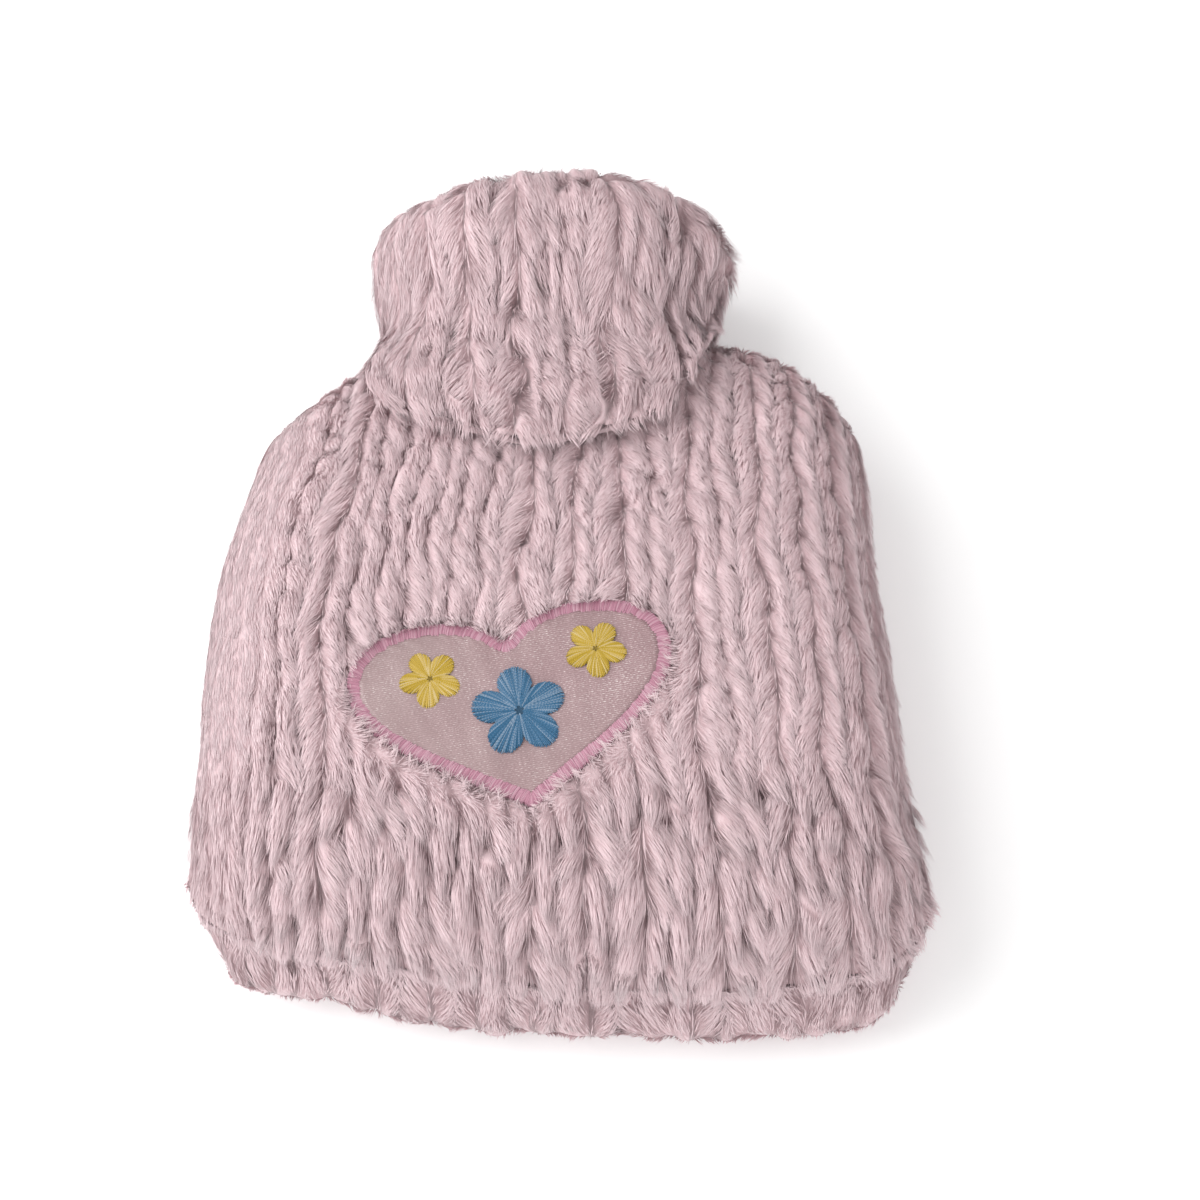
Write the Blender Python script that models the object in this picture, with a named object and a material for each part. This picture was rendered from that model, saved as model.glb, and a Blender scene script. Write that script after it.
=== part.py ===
"""Plush cover for a small hot water bottle, lying on its back, with a turned-down collar.

Metres, +Z up. The cover lies along Y: its bottom hem faces -Y and the collar's mouth faces +Y.
X runs across it. Z = 0 is the surface it lies on, and the origin is on its flat base, under the
middle of the pouch.

Six kinds of piece: the front panel and the back panel, which meet in a level seam and make a
hollow pouch; the collar, a tube of plush turned down over itself; the satin heart on the front;
the stitched edge round the heart; and three five-petal flowers embroidered on it.
The solids reach as far as the pile does, and the plush's wavy ribs are raised in their faces.
"""

import math
from collections import namedtuple

import bmesh
import bpy
from mathutils import Matrix, Vector

# ---- driving dimensions ---------------------------------------------------------------------

SEAM_HEIGHT = 0.0280         # the level seam between the front and the back panel
SEAM_GAP = 0.0003            # what the two panels leave between them
NECK_END = 0.0760            # where along the cover the panels end and the collar begins
NECK_HALF_WIDTH = 0.0365
NECK_FLAT_SHARE = 0.56       # the panels' top edge is straight across this share of their width

SIDE_RADIUS = 0.034          # how far in from each edge the front panel is still rounding over
HEM_RADIUS = 0.038
SHOULDER_RADIUS = 0.034
BACK_RADIUS = 0.020          # the same for the back panel, which is flat where it lies
BACK_FLATTEN = 1.12          # how much of the back panel's rounding the flat base takes off
BACK_BULGE_SIDE = 0.0012     # how far the back panel's pile swells past the seam
BACK_BULGE_HEM = 0.0120
BACK_BULGE_LOW = 1.5         # 1 puts the fullest place halfway down, more puts it lower
DOME_POWER = 2.2

FRONT_RIBS = 28
FRONT_COLUMNS_PER_RIB = 3
FRONT_ROWS = 29
RIB_DEPTH = 0.0021
RIB_SWAY = 0.0013            # the wavy ribs swing this far to either side, in waves of this length
RIB_SWAY_LENGTH = 0.0310
RIB_SWAY_SKEW = 3.1          # how far the waves get out of step across the panel, and how often
RIB_SWAY_SKEWS = 7.0
RIB_SWAY_RISE = 8.0          # how soon past the hem and the shoulders the swing is full
RIB_SWAY_SIDE = 6            # the higher, the nearer to the sides it still swings
RIB_DRIFT_SHARE = 0.5        # a longer, weaker wave on top of that one
RIB_DRIFT_LENGTH = 0.1100
RIB_DRIFT_SKEW = 2.4
SEAM_FADE = 0.0090           # the ribs' grooves die out this close to a seam
LUMP_DEPTH = 0.0005          # soft unevenness of the pile: its depth and its waves' lengths
LUMP_ACROSS = 0.0300
LUMP_ALONG = 0.0380
LUMP_BEND = 2.0              # how far its waves bend, and over what length
LUMP_BEND_LENGTH = 0.0520
BACK_COLUMNS_PER_RIB = 2
BACK_ROWS = 25
BACK_RIB_DEPTH = 0.0016
BACK_RIB_START = 0.0015      # the back panel's ribs come up between these two heights
BACK_RIB_FULL = 0.0090
ROUNDING = 0.000001          # lengths this close count as the same
MERGE_DISTANCE = 0.00001     # points this close are joined into one
SHARP_ANGLE = math.radians(50.0)

SIDE_WALL = 0.0090           # plush from the cavity to the pile's tips
TOP_WALL = 0.0080
FLOOR_WALL = 0.0055
CAVITY_RADIUS = 0.024
CAVITY_COLUMNS = 24
CAVITY_ROWS = 18
BORE_HALF_WIDTH = 0.0315     # the way through the neck
BORE_HALF_HEIGHT = 0.0125
BORE_START = 0.030
BORE_SIDES = 40

COLLAR_RIBS = 38
COLLAR_COLUMNS_PER_RIB = 2
COLLAR_CLEARANCE = 0.0009    # between the turned-down layer and the panels under it
COLLAR_REACH = 0.0020        # the layer also clears the panel's shoulder this much further down,
COLLAR_REACH_SHARE = 0.97    # and this share further in
COLLAR_HEM_SIDE = 0.0785     # where the hem crosses the collar's sides
COLLAR_HEM_DIP_FRONT = 0.0460
COLLAR_HEM_DIP_BACK = 0.0130
COLLAR_DIP_START_FRONT = 0.06  # the hem dips past this share of the way from the side to the middle
COLLAR_DIP_START_BACK = 0.35
COLLAR_HEM_WAVE = 0.0012     # the hem's unevenness, and how many waves it has round the collar
COLLAR_HEM_WAVES = 6
COLLAR_LIP = 0.72            # how far through the layer the hem's rounded lip begins
COLLAR_FOLD_SIDE = 0.1040    # where the fold begins at the sides, and how much further up in the middle
COLLAR_FOLD_RISE = 0.0078
COLLAR_FOLD_ROUND = 3.0      # the higher, the more that rise keeps to the middle
COLLAR_FOLD_REACH = 0.0095
COLLAR_OUTER_LAYER = 0.52    # from the way through (0) to the outside (1): where the outer layer starts,
COLLAR_INNER_LAYER = 0.45    # and where the inner layer ends
COLLAR_RIB_SHARE = 0.13      # how deep its grooves are, and how far from its sides they are full
COLLAR_RIB_START = 0.3
COLLAR_UNEVEN = 0.02         # how far its outside swells in and out, and how often round it
COLLAR_UNEVEN_TIMES = 3
COLLAR_SQUARENESS = 0.90
COLLAR_START_GAP = 0.0003
COLLAR_MERGE = 0.0025        # how softly the collar's tube runs into its flap on the body
# the section's points: shares of the way from the hem or the neck to the fold, and of the turn over it
COLLAR_OUTSIDE = (0.03, 0.12, 0.24, 0.37, 0.5, 0.63, 0.76, 0.88, 1.0)
COLLAR_FOLD = (0.2, 0.4, 0.6, 0.8)
COLLAR_BORE = (1.0, 0.66, 0.33, 0.0)
COLLAR_BETWEEN_UP = (0.0, 0.45, 0.9)
COLLAR_BETWEEN_DOWN = (0.9, 0.66, 0.47, 0.3, 0.15, 0.0)

HEART_CENTRE = (-0.0110, -0.0405)
HEART_TURN = math.radians(10.0)
HEART_PRESS = 0.0010         # how far the patch presses the ribs down
HEART_CLEARANCE = 0.0004
HEART_THICKNESS = 0.0011
HEART_RINGS = (1.0, 0.82, 0.56, 0.28)
HEART_STEPS = 9              # steps along each of the outline's six curves
BORDER_WIDTH = 0.0038
BORDER_HEIGHT = 0.0019
PATCH_GAP = 0.0003
PRESS_REACH = (0.054, 0.040) # half the size of the oval that the patch presses down
PRESS_FULL = 0.86            # it presses fully inside this share of the oval, not at all past the next
PRESS_NONE = 1.10

PETALS = 5
PETAL_STEPS = 8
PETAL_WAIST = 0.50           # how far the outline draws in between two petals
PETAL_ROUND = 0.6            # the lower, the fuller each petal
FLOWER_THICKNESS = 0.0009

PLUSH_ROUGHNESS = 0.92
SATIN_ROUGHNESS = 0.35
THREAD_ROUGHNESS = 0.45

Along = namedtuple("Along", "along left right crown underside")
BODY = (
    # along the cover; left and right edge of the seam; front's height; back's clear height
    Along(-0.1180, -0.0960, 0.0985, 0.0540, 0.0000),
    Along(-0.0860, -0.0955, 0.0964, 0.0555, 0.0000),
    Along(-0.0570, -0.0950, 0.0917, 0.0568, 0.0000),
    Along(-0.0290, -0.0938, 0.0892, 0.0573, 0.0000),
    Along(0.0000, -0.0915, 0.0862, 0.0568, 0.0000),
    Along(0.0200, -0.0872, 0.0850, 0.0548, 0.0000),
    Along(0.0360, -0.0838, 0.0838, 0.0520, 0.0000),
    Along(0.0500, -0.0820, 0.0828, 0.0495, 0.0022),
    Along(0.0640, -0.0800, 0.0815, 0.0470, 0.0080),
    Along(0.0760, -0.0780, 0.0790, 0.0455, 0.0105),
    Along(0.0900, -0.0770, 0.0780, 0.0455, 0.0105),
)

Edge = namedtuple("Edge", "across along")
BOTTOM_EDGE = (
    # share of the half width from the left (-1) to the right (1); where the seam runs
    Edge(-1.00, -0.0820), Edge(-0.965, -0.0900), Edge(-0.86, -0.0965), Edge(-0.60, -0.1022),
    Edge(-0.30, -0.1070), Edge(0.00, -0.1105), Edge(0.40, -0.1110), Edge(0.70, -0.1085),
    Edge(0.86, -0.1040), Edge(0.96, -0.0960), Edge(1.00, -0.0870),
)
SHOULDER_EDGE = (
    Edge(-1.00, 0.0390), Edge(-0.97, 0.0465), Edge(-0.90, 0.0530), Edge(-0.76, 0.0635),
    Edge(-0.65, 0.0705), Edge(-NECK_FLAT_SHARE, NECK_END), Edge(NECK_FLAT_SHARE, NECK_END),
    Edge(0.65, 0.0752), Edge(0.76, 0.0712), Edge(0.86, 0.0642), Edge(0.93, 0.0565),
    Edge(0.975, 0.0500), Edge(1.00, 0.0420),
)

Section = namedtuple("Section", "along centre half_width half_height middle bore_width bore_height")
COLLAR = (
    # along the cover; centre across; outside half width and half height; middle's height; bore
    Section(0.0300, -0.0020, 0.0465, 0.0258, 0.0280, 0.0320, 0.0125),
    Section(0.0550, -0.0025, 0.0480, 0.0258, 0.0280, 0.0320, 0.0125),
    Section(0.0760, -0.0026, 0.0470, 0.0258, 0.0280, 0.0320, 0.0125),
    Section(0.0840, -0.0028, 0.0482, 0.0267, 0.0282, 0.0330, 0.0125),
    Section(0.0940, -0.0024, 0.0515, 0.0285, 0.0287, 0.0365, 0.0135),
    Section(0.1040, -0.0024, 0.0530, 0.0292, 0.0290, 0.0380, 0.0145),
    Section(0.1120, -0.0024, 0.0522, 0.0288, 0.0290, 0.0385, 0.0150),
    Section(0.1300, -0.0024, 0.0510, 0.0280, 0.0290, 0.0385, 0.0150),
)

Bend = namedtuple("Bend", "out_x out_y in_x in_y end_x end_y")
HEART_START = (0.0, 0.0140)
HEART_HALF = (
    # the right half from the notch down to the tip, as curves: two handles and an end point
    Bend(0.0050, 0.0195, 0.0120, 0.0220, 0.0210, 0.0220),
    Bend(0.0330, 0.0220, 0.0420, 0.0160, 0.0420, 0.0065),
    Bend(0.0420, -0.0090, 0.0170, -0.0210, 0.0000, -0.0320),
)

Step = namedtuple("Step", "inward upward")
BORDER_SECTION = (
    # shares of the border's width and height
    Step(0.0, 0.0), Step(0.0, 0.55), Step(0.3, 0.95), Step(0.7, 0.95), Step(1.0, 0.55), Step(1.0, 0.0),
)

Flower = namedtuple("Flower", "name across along radius turn colour")
BLUE = (0.045, 0.305, 0.580, 1.0)
YELLOW = (0.750, 0.570, 0.012, 1.0)
FLOWERS = (
    # place on the heart's own axes, radius to the petals' tips, turn in degrees
    Flower("flower_blue", 0.0005, -0.0060, 0.0125, 18.0, BLUE),
    Flower("flower_yellow_left", -0.0205, 0.0065, 0.0082, 40.0, YELLOW),
    Flower("flower_yellow_right", 0.0225, 0.0075, 0.0082, -20.0, YELLOW),
)

PLUSH_PINK = (0.560, 0.420, 0.432, 1.0)
PLUSH_PINK_BACK = (0.535, 0.400, 0.413, 1.0)
SATIN_PINK = (0.520, 0.365, 0.370, 1.0)
THREAD_PINK = (0.600, 0.350, 0.415, 1.0)


# ---- reading the tables ---------------------------------------------------------------------

def read(rows, key, column, place):
    """Read a column of a table at a place between its rows, along a smooth curve."""
    first, last = rows[0], rows[-1]
    if place <= getattr(first, key):
        return getattr(first, column)
    if place >= getattr(last, key):
        return getattr(last, column)
    at = next(i for i in range(len(rows) - 1) if place <= getattr(rows[i + 1], key))

    def slope(index):
        low, high = max(index - 1, 0), min(index + 1, len(rows) - 1)
        run = getattr(rows[high], key) - getattr(rows[low], key)
        return (getattr(rows[high], column) - getattr(rows[low], column)) / run

    start, end = getattr(rows[at], key), getattr(rows[at + 1], key)
    from_value, to_value = getattr(rows[at], column), getattr(rows[at + 1], column)
    run = end - start
    s = (place - start) / run
    return ((2 * s ** 3 - 3 * s ** 2 + 1) * from_value + (s ** 3 - 2 * s ** 2 + s) * run * slope(at)
            + (3 * s ** 2 - 2 * s ** 3) * to_value + (s ** 3 - s ** 2) * run * slope(at + 1))


def mix(low, high, share):
    return low + (high - low) * share


def ease(low, high, value):
    """0 below low, 1 above high, and smooth between them."""
    share = min(1.0, max(0.0, (value - low) / (high - low)))
    return share * share * (3.0 - 2.0 * share)


def soft_max(a, b, reach):
    """The larger of two heights, rounded where they are within reach of each other."""
    share = max(reach - abs(a - b), 0.0) / reach
    return max(a, b) + share * share * reach / 4.0


# ---- the pouch's form -----------------------------------------------------------------------

def dome(distance, radius):
    """Height share at a distance in from an edge: 0 on the edge, 1 once a radius inside it."""
    if distance <= 0.0:
        return 0.0
    if distance >= radius:
        return 1.0
    return (1.0 - (1.0 - distance / radius) ** DOME_POWER) ** (1.0 / DOME_POWER)


def middle_and_half_width(along):
    left = read(BODY, "along", "left", along)
    right = read(BODY, "along", "right", along)
    return (left + right) / 2, (right - left) / 2


def underside(along):
    return max(0.0, read(BODY, "along", "underside", along))


def bottom_edge(across):
    return read(BOTTOM_EDGE, "across", "along", across)


def shoulder_edge(across):
    if abs(across) <= NECK_FLAT_SHARE:
        return NECK_END
    return read(SHOULDER_EDGE, "across", "along", across)


def neck_arch(across):
    """Share of the neck's height at the panels' straight top edge: an arch, 0 beside the neck."""
    half_width = middle_and_half_width(NECK_END)[1]
    share = abs(across) * half_width / NECK_HALF_WIDTH
    return math.sqrt(1.0 - share * share) if share < 1.0 else 0.0


def edge_shares(across, along, inset, side_radius, hem_radius, shoulder_radius, has_neck):
    """How far the form has risen from its side, hem and shoulder edges, each from 0 to 1."""
    half_width = middle_and_half_width(along)[1] - inset
    side = dome((1.0 - abs(across)) * half_width, side_radius)
    hem = dome(along - bottom_edge(across) - inset, hem_radius)
    top = dome(shoulder_edge(across) - inset - along, shoulder_radius)
    if has_neck:
        arch = neck_arch(across)
        top = arch + (1.0 - arch) * top
    return side, hem, top


def front_height(x, y):
    """Height of the front panel's rib tops over a point of the plan."""
    centre, half_width = middle_and_half_width(y)
    across = min(1.0, max(-1.0, (x - centre) / half_width))
    if y > NECK_END + ROUNDING:
        return SEAM_HEIGHT
    side, hem, top = edge_shares(across, y, 0.0, SIDE_RADIUS, HEM_RADIUS, SHOULDER_RADIUS, True)
    return mix(SEAM_HEIGHT, read(BODY, "along", "crown", y), side * hem * top)


def back_share(along, side, hem, top):
    """How far down the back panel has reached, from the seam (0) to its flat base (1)."""
    flatten = mix(1.0, BACK_FLATTEN, ease(0.0, BACK_RADIUS, NECK_END - along))
    return min(1.0, flatten * side * hem * top)


def back_height(x, y):
    """Height of the back panel's underside over a point of the plan."""
    centre, half_width = middle_and_half_width(y)
    across = min(1.0, max(-1.0, (x - centre) / half_width))
    if y > NECK_END + ROUNDING:
        return SEAM_HEIGHT
    side, hem, top = edge_shares(across, y, 0.0, BACK_RADIUS, BACK_RADIUS, BACK_RADIUS, True)
    return mix(SEAM_HEIGHT, underside(y), back_share(y, side, hem, top))


def even_places(count, span, low_radius, high_radius, rise):
    """Places from 0 to 1 across a domed span, evenly spaced along the dome itself."""
    fine = 400

    def height(place):
        return rise * dome(place * span, low_radius) * dome((1.0 - place) * span, high_radius)

    travelled = [0.0]
    for step in range(fine):
        near, far = step / fine, (step + 1) / fine
        travelled.append(travelled[-1] + math.hypot(span / fine, height(far) - height(near)))
    places, step = [0.0], 0
    for index in range(1, count):
        wanted = travelled[-1] * index / count
        while travelled[step + 1] < wanted:
            step += 1
        share = (wanted - travelled[step]) / (travelled[step + 1] - travelled[step])
        places.append((step + share) / fine)
    places.append(1.0)
    return places


def sway(across, along, row_share):
    """Sideways swing of the wavy ribs, none on the panel's edges."""
    fade = (1.0 - across ** RIB_SWAY_SIDE) * min(1.0, RIB_SWAY_RISE * row_share * (1.0 - row_share))
    skew = RIB_SWAY_SKEW * math.sin(RIB_SWAY_SKEWS * across)
    wave = math.sin(math.tau * along / RIB_SWAY_LENGTH + skew)
    drift = math.sin(math.tau * along / RIB_DRIFT_LENGTH + RIB_DRIFT_SKEW * across)
    return RIB_SWAY * fade * (wave + RIB_DRIFT_SHARE * drift)


def lump(x, y):
    """Soft unevenness of the pile, from 0 to LUMP_DEPTH."""
    bend = LUMP_BEND * math.sin(math.tau * y / LUMP_BEND_LENGTH)
    wave = math.sin(math.tau * x / LUMP_ACROSS + bend) * math.sin(math.tau * y / LUMP_ALONG)
    return LUMP_DEPTH * (0.5 + 0.5 * wave)


def patch_axes(x, y):
    """A point of the plan on the heart's own axes."""
    dx, dy = x - HEART_CENTRE[0], y - HEART_CENTRE[1]
    cosine, sine = math.cos(HEART_TURN), math.sin(HEART_TURN)
    return dx * cosine + dy * sine, dy * cosine - dx * sine


def patch_press(x, y):
    """How far the heart presses the ribs down at a point of the plan."""
    p, q = patch_axes(x, y)
    reach = math.hypot(p / PRESS_REACH[0], q / PRESS_REACH[1])
    return HEART_PRESS * (1.0 - ease(PRESS_FULL, PRESS_NONE, reach))


# ---- scene and mesh helpers -----------------------------------------------------------------

def clear_scene():
    for old in list(bpy.data.objects):
        bpy.data.objects.remove(old, do_unlink=True)


def new_collection(name):
    collection = bpy.data.collections.new(name)
    bpy.context.scene.collection.children.link(collection)
    return collection


def material(name, colour, roughness):
    finish = bpy.data.materials.new(name)
    finish.use_nodes = True
    shader = finish.node_tree.nodes["Principled BSDF"]
    shader.inputs["Base Color"].default_value = colour
    shader.inputs["Roughness"].default_value = roughness
    shader.inputs["Metallic"].default_value = 0.0
    return finish


def add_object(name, bm, collection, finish=None):
    bmesh.ops.recalc_face_normals(bm, faces=bm.faces)
    mesh = bpy.data.meshes.new(name)
    bm.to_mesh(mesh)
    bm.free()
    mesh.shade_smooth()
    mesh.set_sharp_from_angle(angle=SHARP_ANGLE)
    if finish:
        mesh.materials.append(finish)
    piece = bpy.data.objects.new(name, mesh)
    collection.objects.link(piece)
    return piece


def cut(piece, cutter):
    modifier = piece.modifiers.new("cut_" + cutter.name, "BOOLEAN")
    modifier.operation = "DIFFERENCE"
    modifier.solver = "EXACT"
    modifier.object = cutter


def join_grid(bm, grid, closed):
    """Join rows of vertices with quads; closed rows run all the way round."""
    for low, high in zip(grid, grid[1:]):
        count = len(low)
        for index in range(count if closed else count - 1):
            after = (index + 1) % count
            bm.faces.new((low[index], low[after], high[after], high[index]))


# ---- the panels -----------------------------------------------------------------------------

def panel_grid(bm, columns, rows, inset, place_point, sways):
    """Rows of vertices from the hem to the shoulders, each row from the left to the right edge."""
    grid = []
    for row_share in rows:
        line = []
        for column_share in columns:
            across = 2.0 * column_share - 1.0
            low = bottom_edge(across) + inset
            high = shoulder_edge(across) - inset
            along = mix(low, high, row_share)
            centre, half_width = middle_and_half_width(along)
            if sways:
                across += sway(across, along, row_share) / half_width
            x = centre + across * (half_width - inset)
            line.append(bm.verts.new(place_point(x, along, across)))
        grid.append(line)
    return grid


def close_half(bm, grid):
    """Close an open half of the pouch with its neck's end face and its level seam face."""
    top = grid[-1]
    seam_level = grid[0][0].co.z
    raised = [i for i, vert in enumerate(top) if abs(vert.co.z - seam_level) > ROUNDING]
    first, last = raised[0] - 1, raised[-1] + 1
    neck_face = bm.faces.new(top[first:last + 1])
    left = [row[0] for row in grid[1:-1]]
    right = [row[-1] for row in grid[1:-1]]
    seam_face = bm.faces.new(grid[0] + right + top[:last - 1:-1] + top[first::-1] + left[::-1])
    bmesh.ops.triangulate(bm, faces=[neck_face, seam_face])


def is_groove(index, columns_per_rib):
    return index % columns_per_rib == 0


def press_ribs(bm, grid, columns_per_rib, depth_at):
    """Sink the grooves between the ribs into the panel along its surface's own normals."""
    bmesh.ops.recalc_face_normals(bm, faces=bm.faces)
    bm.normal_update()
    middle = grid[len(grid) // 2][len(grid[0]) // 2]
    outward = 1.0 if (middle.normal.z > 0.0) == (middle.co.z > SEAM_HEIGHT) else -1.0
    for row in grid:
        for index, vert in enumerate(row):
            depth = depth_at(vert.co, is_groove(index, columns_per_rib))
            vert.co -= vert.normal * outward * depth


def edge_fade(point):
    """0 on the seam and on the neck's end, 1 a little inside them: the ribs die out at a seam."""
    return ease(0.0, SEAM_FADE, abs(point.z - SEAM_HEIGHT)) * ease(0.0, SEAM_FADE, NECK_END - point.y)


def front_depth(point, groove):
    """How far the front panel's surface lies under its rib tops."""
    depth = lump(point.x, point.y) + (RIB_DEPTH if groove else 0.0)
    return edge_fade(point) * max(depth, patch_press(point.x, point.y))


def back_depth(point, groove):
    """The back panel's ribs show on its walls and fade out under it."""
    on_wall = ease(BACK_RIB_START, BACK_RIB_FULL, point.z)
    return BACK_RIB_DEPTH * on_wall * edge_fade(point) if groove else 0.0


def build_front(collection, finish):
    bm = bmesh.new()
    half_width = middle_and_half_width(0.0)[1]
    rise = read(BODY, "along", "crown", 0.0) - SEAM_HEIGHT
    columns = even_places(FRONT_RIBS * FRONT_COLUMNS_PER_RIB, 2 * half_width, SIDE_RADIUS, SIDE_RADIUS, rise)
    length = NECK_END - bottom_edge(0.0)
    rows = even_places(FRONT_ROWS, length, HEM_RADIUS, SHOULDER_RADIUS, rise)

    def place_point(x, along, across):
        return x, along, front_height(x, along) + SEAM_GAP / 2

    grid = panel_grid(bm, columns, rows, 0.0, place_point, True)
    level_edges(grid, SEAM_HEIGHT + SEAM_GAP / 2)
    join_grid(bm, grid, False)
    press_ribs(bm, grid, FRONT_COLUMNS_PER_RIB, front_depth)
    close_half(bm, grid)
    return add_object("front_panel", bm, collection, finish)


def level_edges(grid, height):
    """Put the panel's outline on the seam's plane, but for the neck's arch."""
    for index, row in enumerate(grid):
        for vert in (row if index == 0 else (row[0], row[-1])):
            vert.co.z = height
    for vert in grid[-1]:
        if abs(vert.co.z - SEAM_HEIGHT) < 2 * SEAM_GAP:
            vert.co.z = height


def build_back(collection, finish):
    bm = bmesh.new()
    half_width = middle_and_half_width(0.0)[1]
    columns = even_places(FRONT_RIBS * BACK_COLUMNS_PER_RIB, 2 * half_width, BACK_RADIUS, BACK_RADIUS,
                          SEAM_HEIGHT)
    length = NECK_END - bottom_edge(0.0)
    rows = even_places(BACK_ROWS, length, BACK_RADIUS, BACK_RADIUS, SEAM_HEIGHT)

    def place_point(x, along, across):
        side, hem, top = edge_shares(across, along, 0.0, BACK_RADIUS, BACK_RADIUS, BACK_RADIUS, True)
        share = back_share(along, side, hem, top)
        swell = math.sin(math.pi * share ** BACK_BULGE_LOW)
        room = max(ROUNDING, (1.0 - side) + (1.0 - hem) + (1.0 - top))
        x += math.copysign(BACK_BULGE_SIDE * swell * (1.0 - side) / room, across)
        y = along - BACK_BULGE_HEM * swell * (1.0 - hem) / room
        z = mix(SEAM_HEIGHT, underside(along), share) - SEAM_GAP / 2 * (1.0 - share)
        return x, y, z

    grid = panel_grid(bm, columns, rows, 0.0, place_point, False)
    level_edges(grid, SEAM_HEIGHT - SEAM_GAP / 2)
    join_grid(bm, grid, False)
    press_ribs(bm, grid, BACK_COLUMNS_PER_RIB, back_depth)
    close_half(bm, grid)
    lying = [face for face in bm.faces if all(vert.co.z < ROUNDING for vert in face.verts)]
    bmesh.ops.dissolve_faces(bm, faces=lying)
    return add_object("back_panel", bm, collection, finish)


def build_cavity(collection):
    """The hollow that the bottle fills, rounded off inside the walls."""
    bm = bmesh.new()
    half_width = middle_and_half_width(0.0)[1]
    rise = SEAM_HEIGHT - TOP_WALL
    columns = even_places(CAVITY_COLUMNS, 2 * half_width, CAVITY_RADIUS, CAVITY_RADIUS, rise)
    length = NECK_END - bottom_edge(0.0)
    rows = even_places(CAVITY_ROWS, length, CAVITY_RADIUS, CAVITY_RADIUS, rise)

    def half(limit):
        def place_point(x, along, across):
            side, hem, top = edge_shares(across, along, SIDE_WALL, CAVITY_RADIUS, CAVITY_RADIUS,
                                         CAVITY_RADIUS, False)
            return x, along, mix(SEAM_HEIGHT, limit(along), side * hem * top)
        return place_point

    def ceiling(along):
        return read(BODY, "along", "crown", along) - TOP_WALL

    def floor(along):
        return underside(along) + FLOOR_WALL

    for limit in (ceiling, floor):
        join_grid(bm, panel_grid(bm, columns, rows, SIDE_WALL, half(limit), False), False)
    bmesh.ops.remove_doubles(bm, verts=bm.verts, dist=MERGE_DISTANCE)
    cutter = add_object("cavity", bm, collection)
    hide_cutter(cutter)
    return cutter


def build_bore(collection):
    """The oval way from the cavity out through the neck."""
    bm = bmesh.new()
    end = NECK_END + (NECK_END - BORE_START) / 2
    bmesh.ops.create_cone(bm, cap_ends=True, segments=BORE_SIDES, radius1=1.0, radius2=1.0, depth=1.0,
                          matrix=Matrix.Rotation(math.pi / BORE_SIDES, 4, "Z"))
    for vert in bm.verts:
        x, y, z = vert.co
        vert.co = (x * BORE_HALF_WIDTH, mix(BORE_START, end, z + 0.5), SEAM_HEIGHT + y * BORE_HALF_HEIGHT)
    cutter = add_object("neck_bore", bm, collection)
    hide_cutter(cutter)
    return cutter


def hide_cutter(cutter):
    cutter.hide_render = True
    cutter.display_type = "WIRE"


# ---- the collar -----------------------------------------------------------------------------

def tube_point(turn, share, along):
    """A point of the collar's plain tube.

    turn is the angle round it, share runs from its bore (0) to its outside (1), and along is the
    place along the cover.
    """
    row = {name: read(COLLAR, "along", name, along) for name in Section._fields}
    cosine = math.copysign(abs(math.cos(turn)) ** COLLAR_SQUARENESS, math.cos(turn))
    sine = math.copysign(abs(math.sin(turn)) ** COLLAR_SQUARENESS, math.sin(turn))
    x = row["centre"] + mix(row["bore_width"], row["half_width"], share) * cosine
    z = row["middle"] + mix(row["bore_height"], row["half_height"], share) * sine
    return Vector((x, along, z))


def collar_lift(turn, along):
    """How far the turned-down layer is lifted off the tube's line by the panel under it."""
    inside = tube_point(turn, COLLAR_OUTER_LAYER, along)
    under = inside.x * COLLAR_REACH_SHARE, along - COLLAR_REACH
    if math.sin(turn) >= 0.0:
        return soft_max(inside.z, front_height(*under) + COLLAR_CLEARANCE, COLLAR_MERGE) - inside.z
    return -soft_max(-inside.z, COLLAR_CLEARANCE - back_height(*under), COLLAR_MERGE) - inside.z


def collar_point(turn, share, along):
    """A point of the collar, whose outer layer lies on the panels below the neck's end."""
    point = tube_point(turn, share, along)
    if share >= COLLAR_OUTER_LAYER - ROUNDING:
        point.z += collar_lift(turn, along)
    point.z = max(0.0, point.z)
    return point


def collar_hem(turn):
    """Where the turned-down layer ends: low in front, high at the sides, a little uneven."""
    way = abs(math.sin(turn))
    front = math.sin(turn) > 0.0
    dip = COLLAR_HEM_DIP_FRONT if front else COLLAR_HEM_DIP_BACK
    start = COLLAR_DIP_START_FRONT if front else COLLAR_DIP_START_BACK
    wave = COLLAR_HEM_WAVE * math.sin(COLLAR_HEM_WAVES * turn) * way
    return COLLAR_HEM_SIDE - dip * max(0.0, way - start) / (1.0 - start) + wave


def collar_turns(count):
    """Angles round the collar that are evenly spaced along its outside."""
    fine = 720
    turns = [math.tau * step / fine for step in range(fine + 1)]
    points = [tube_point(turn, 1.0, COLLAR_FOLD_SIDE) for turn in turns]
    travelled = [0.0]
    for near, far in zip(points, points[1:]):
        travelled.append(travelled[-1] + (far - near).length)
    chosen, step = [], 0
    for index in range(count):
        while travelled[step + 1] <= travelled[-1] * index / count:
            step += 1
        chosen.append(turns[step])
    return chosen


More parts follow.
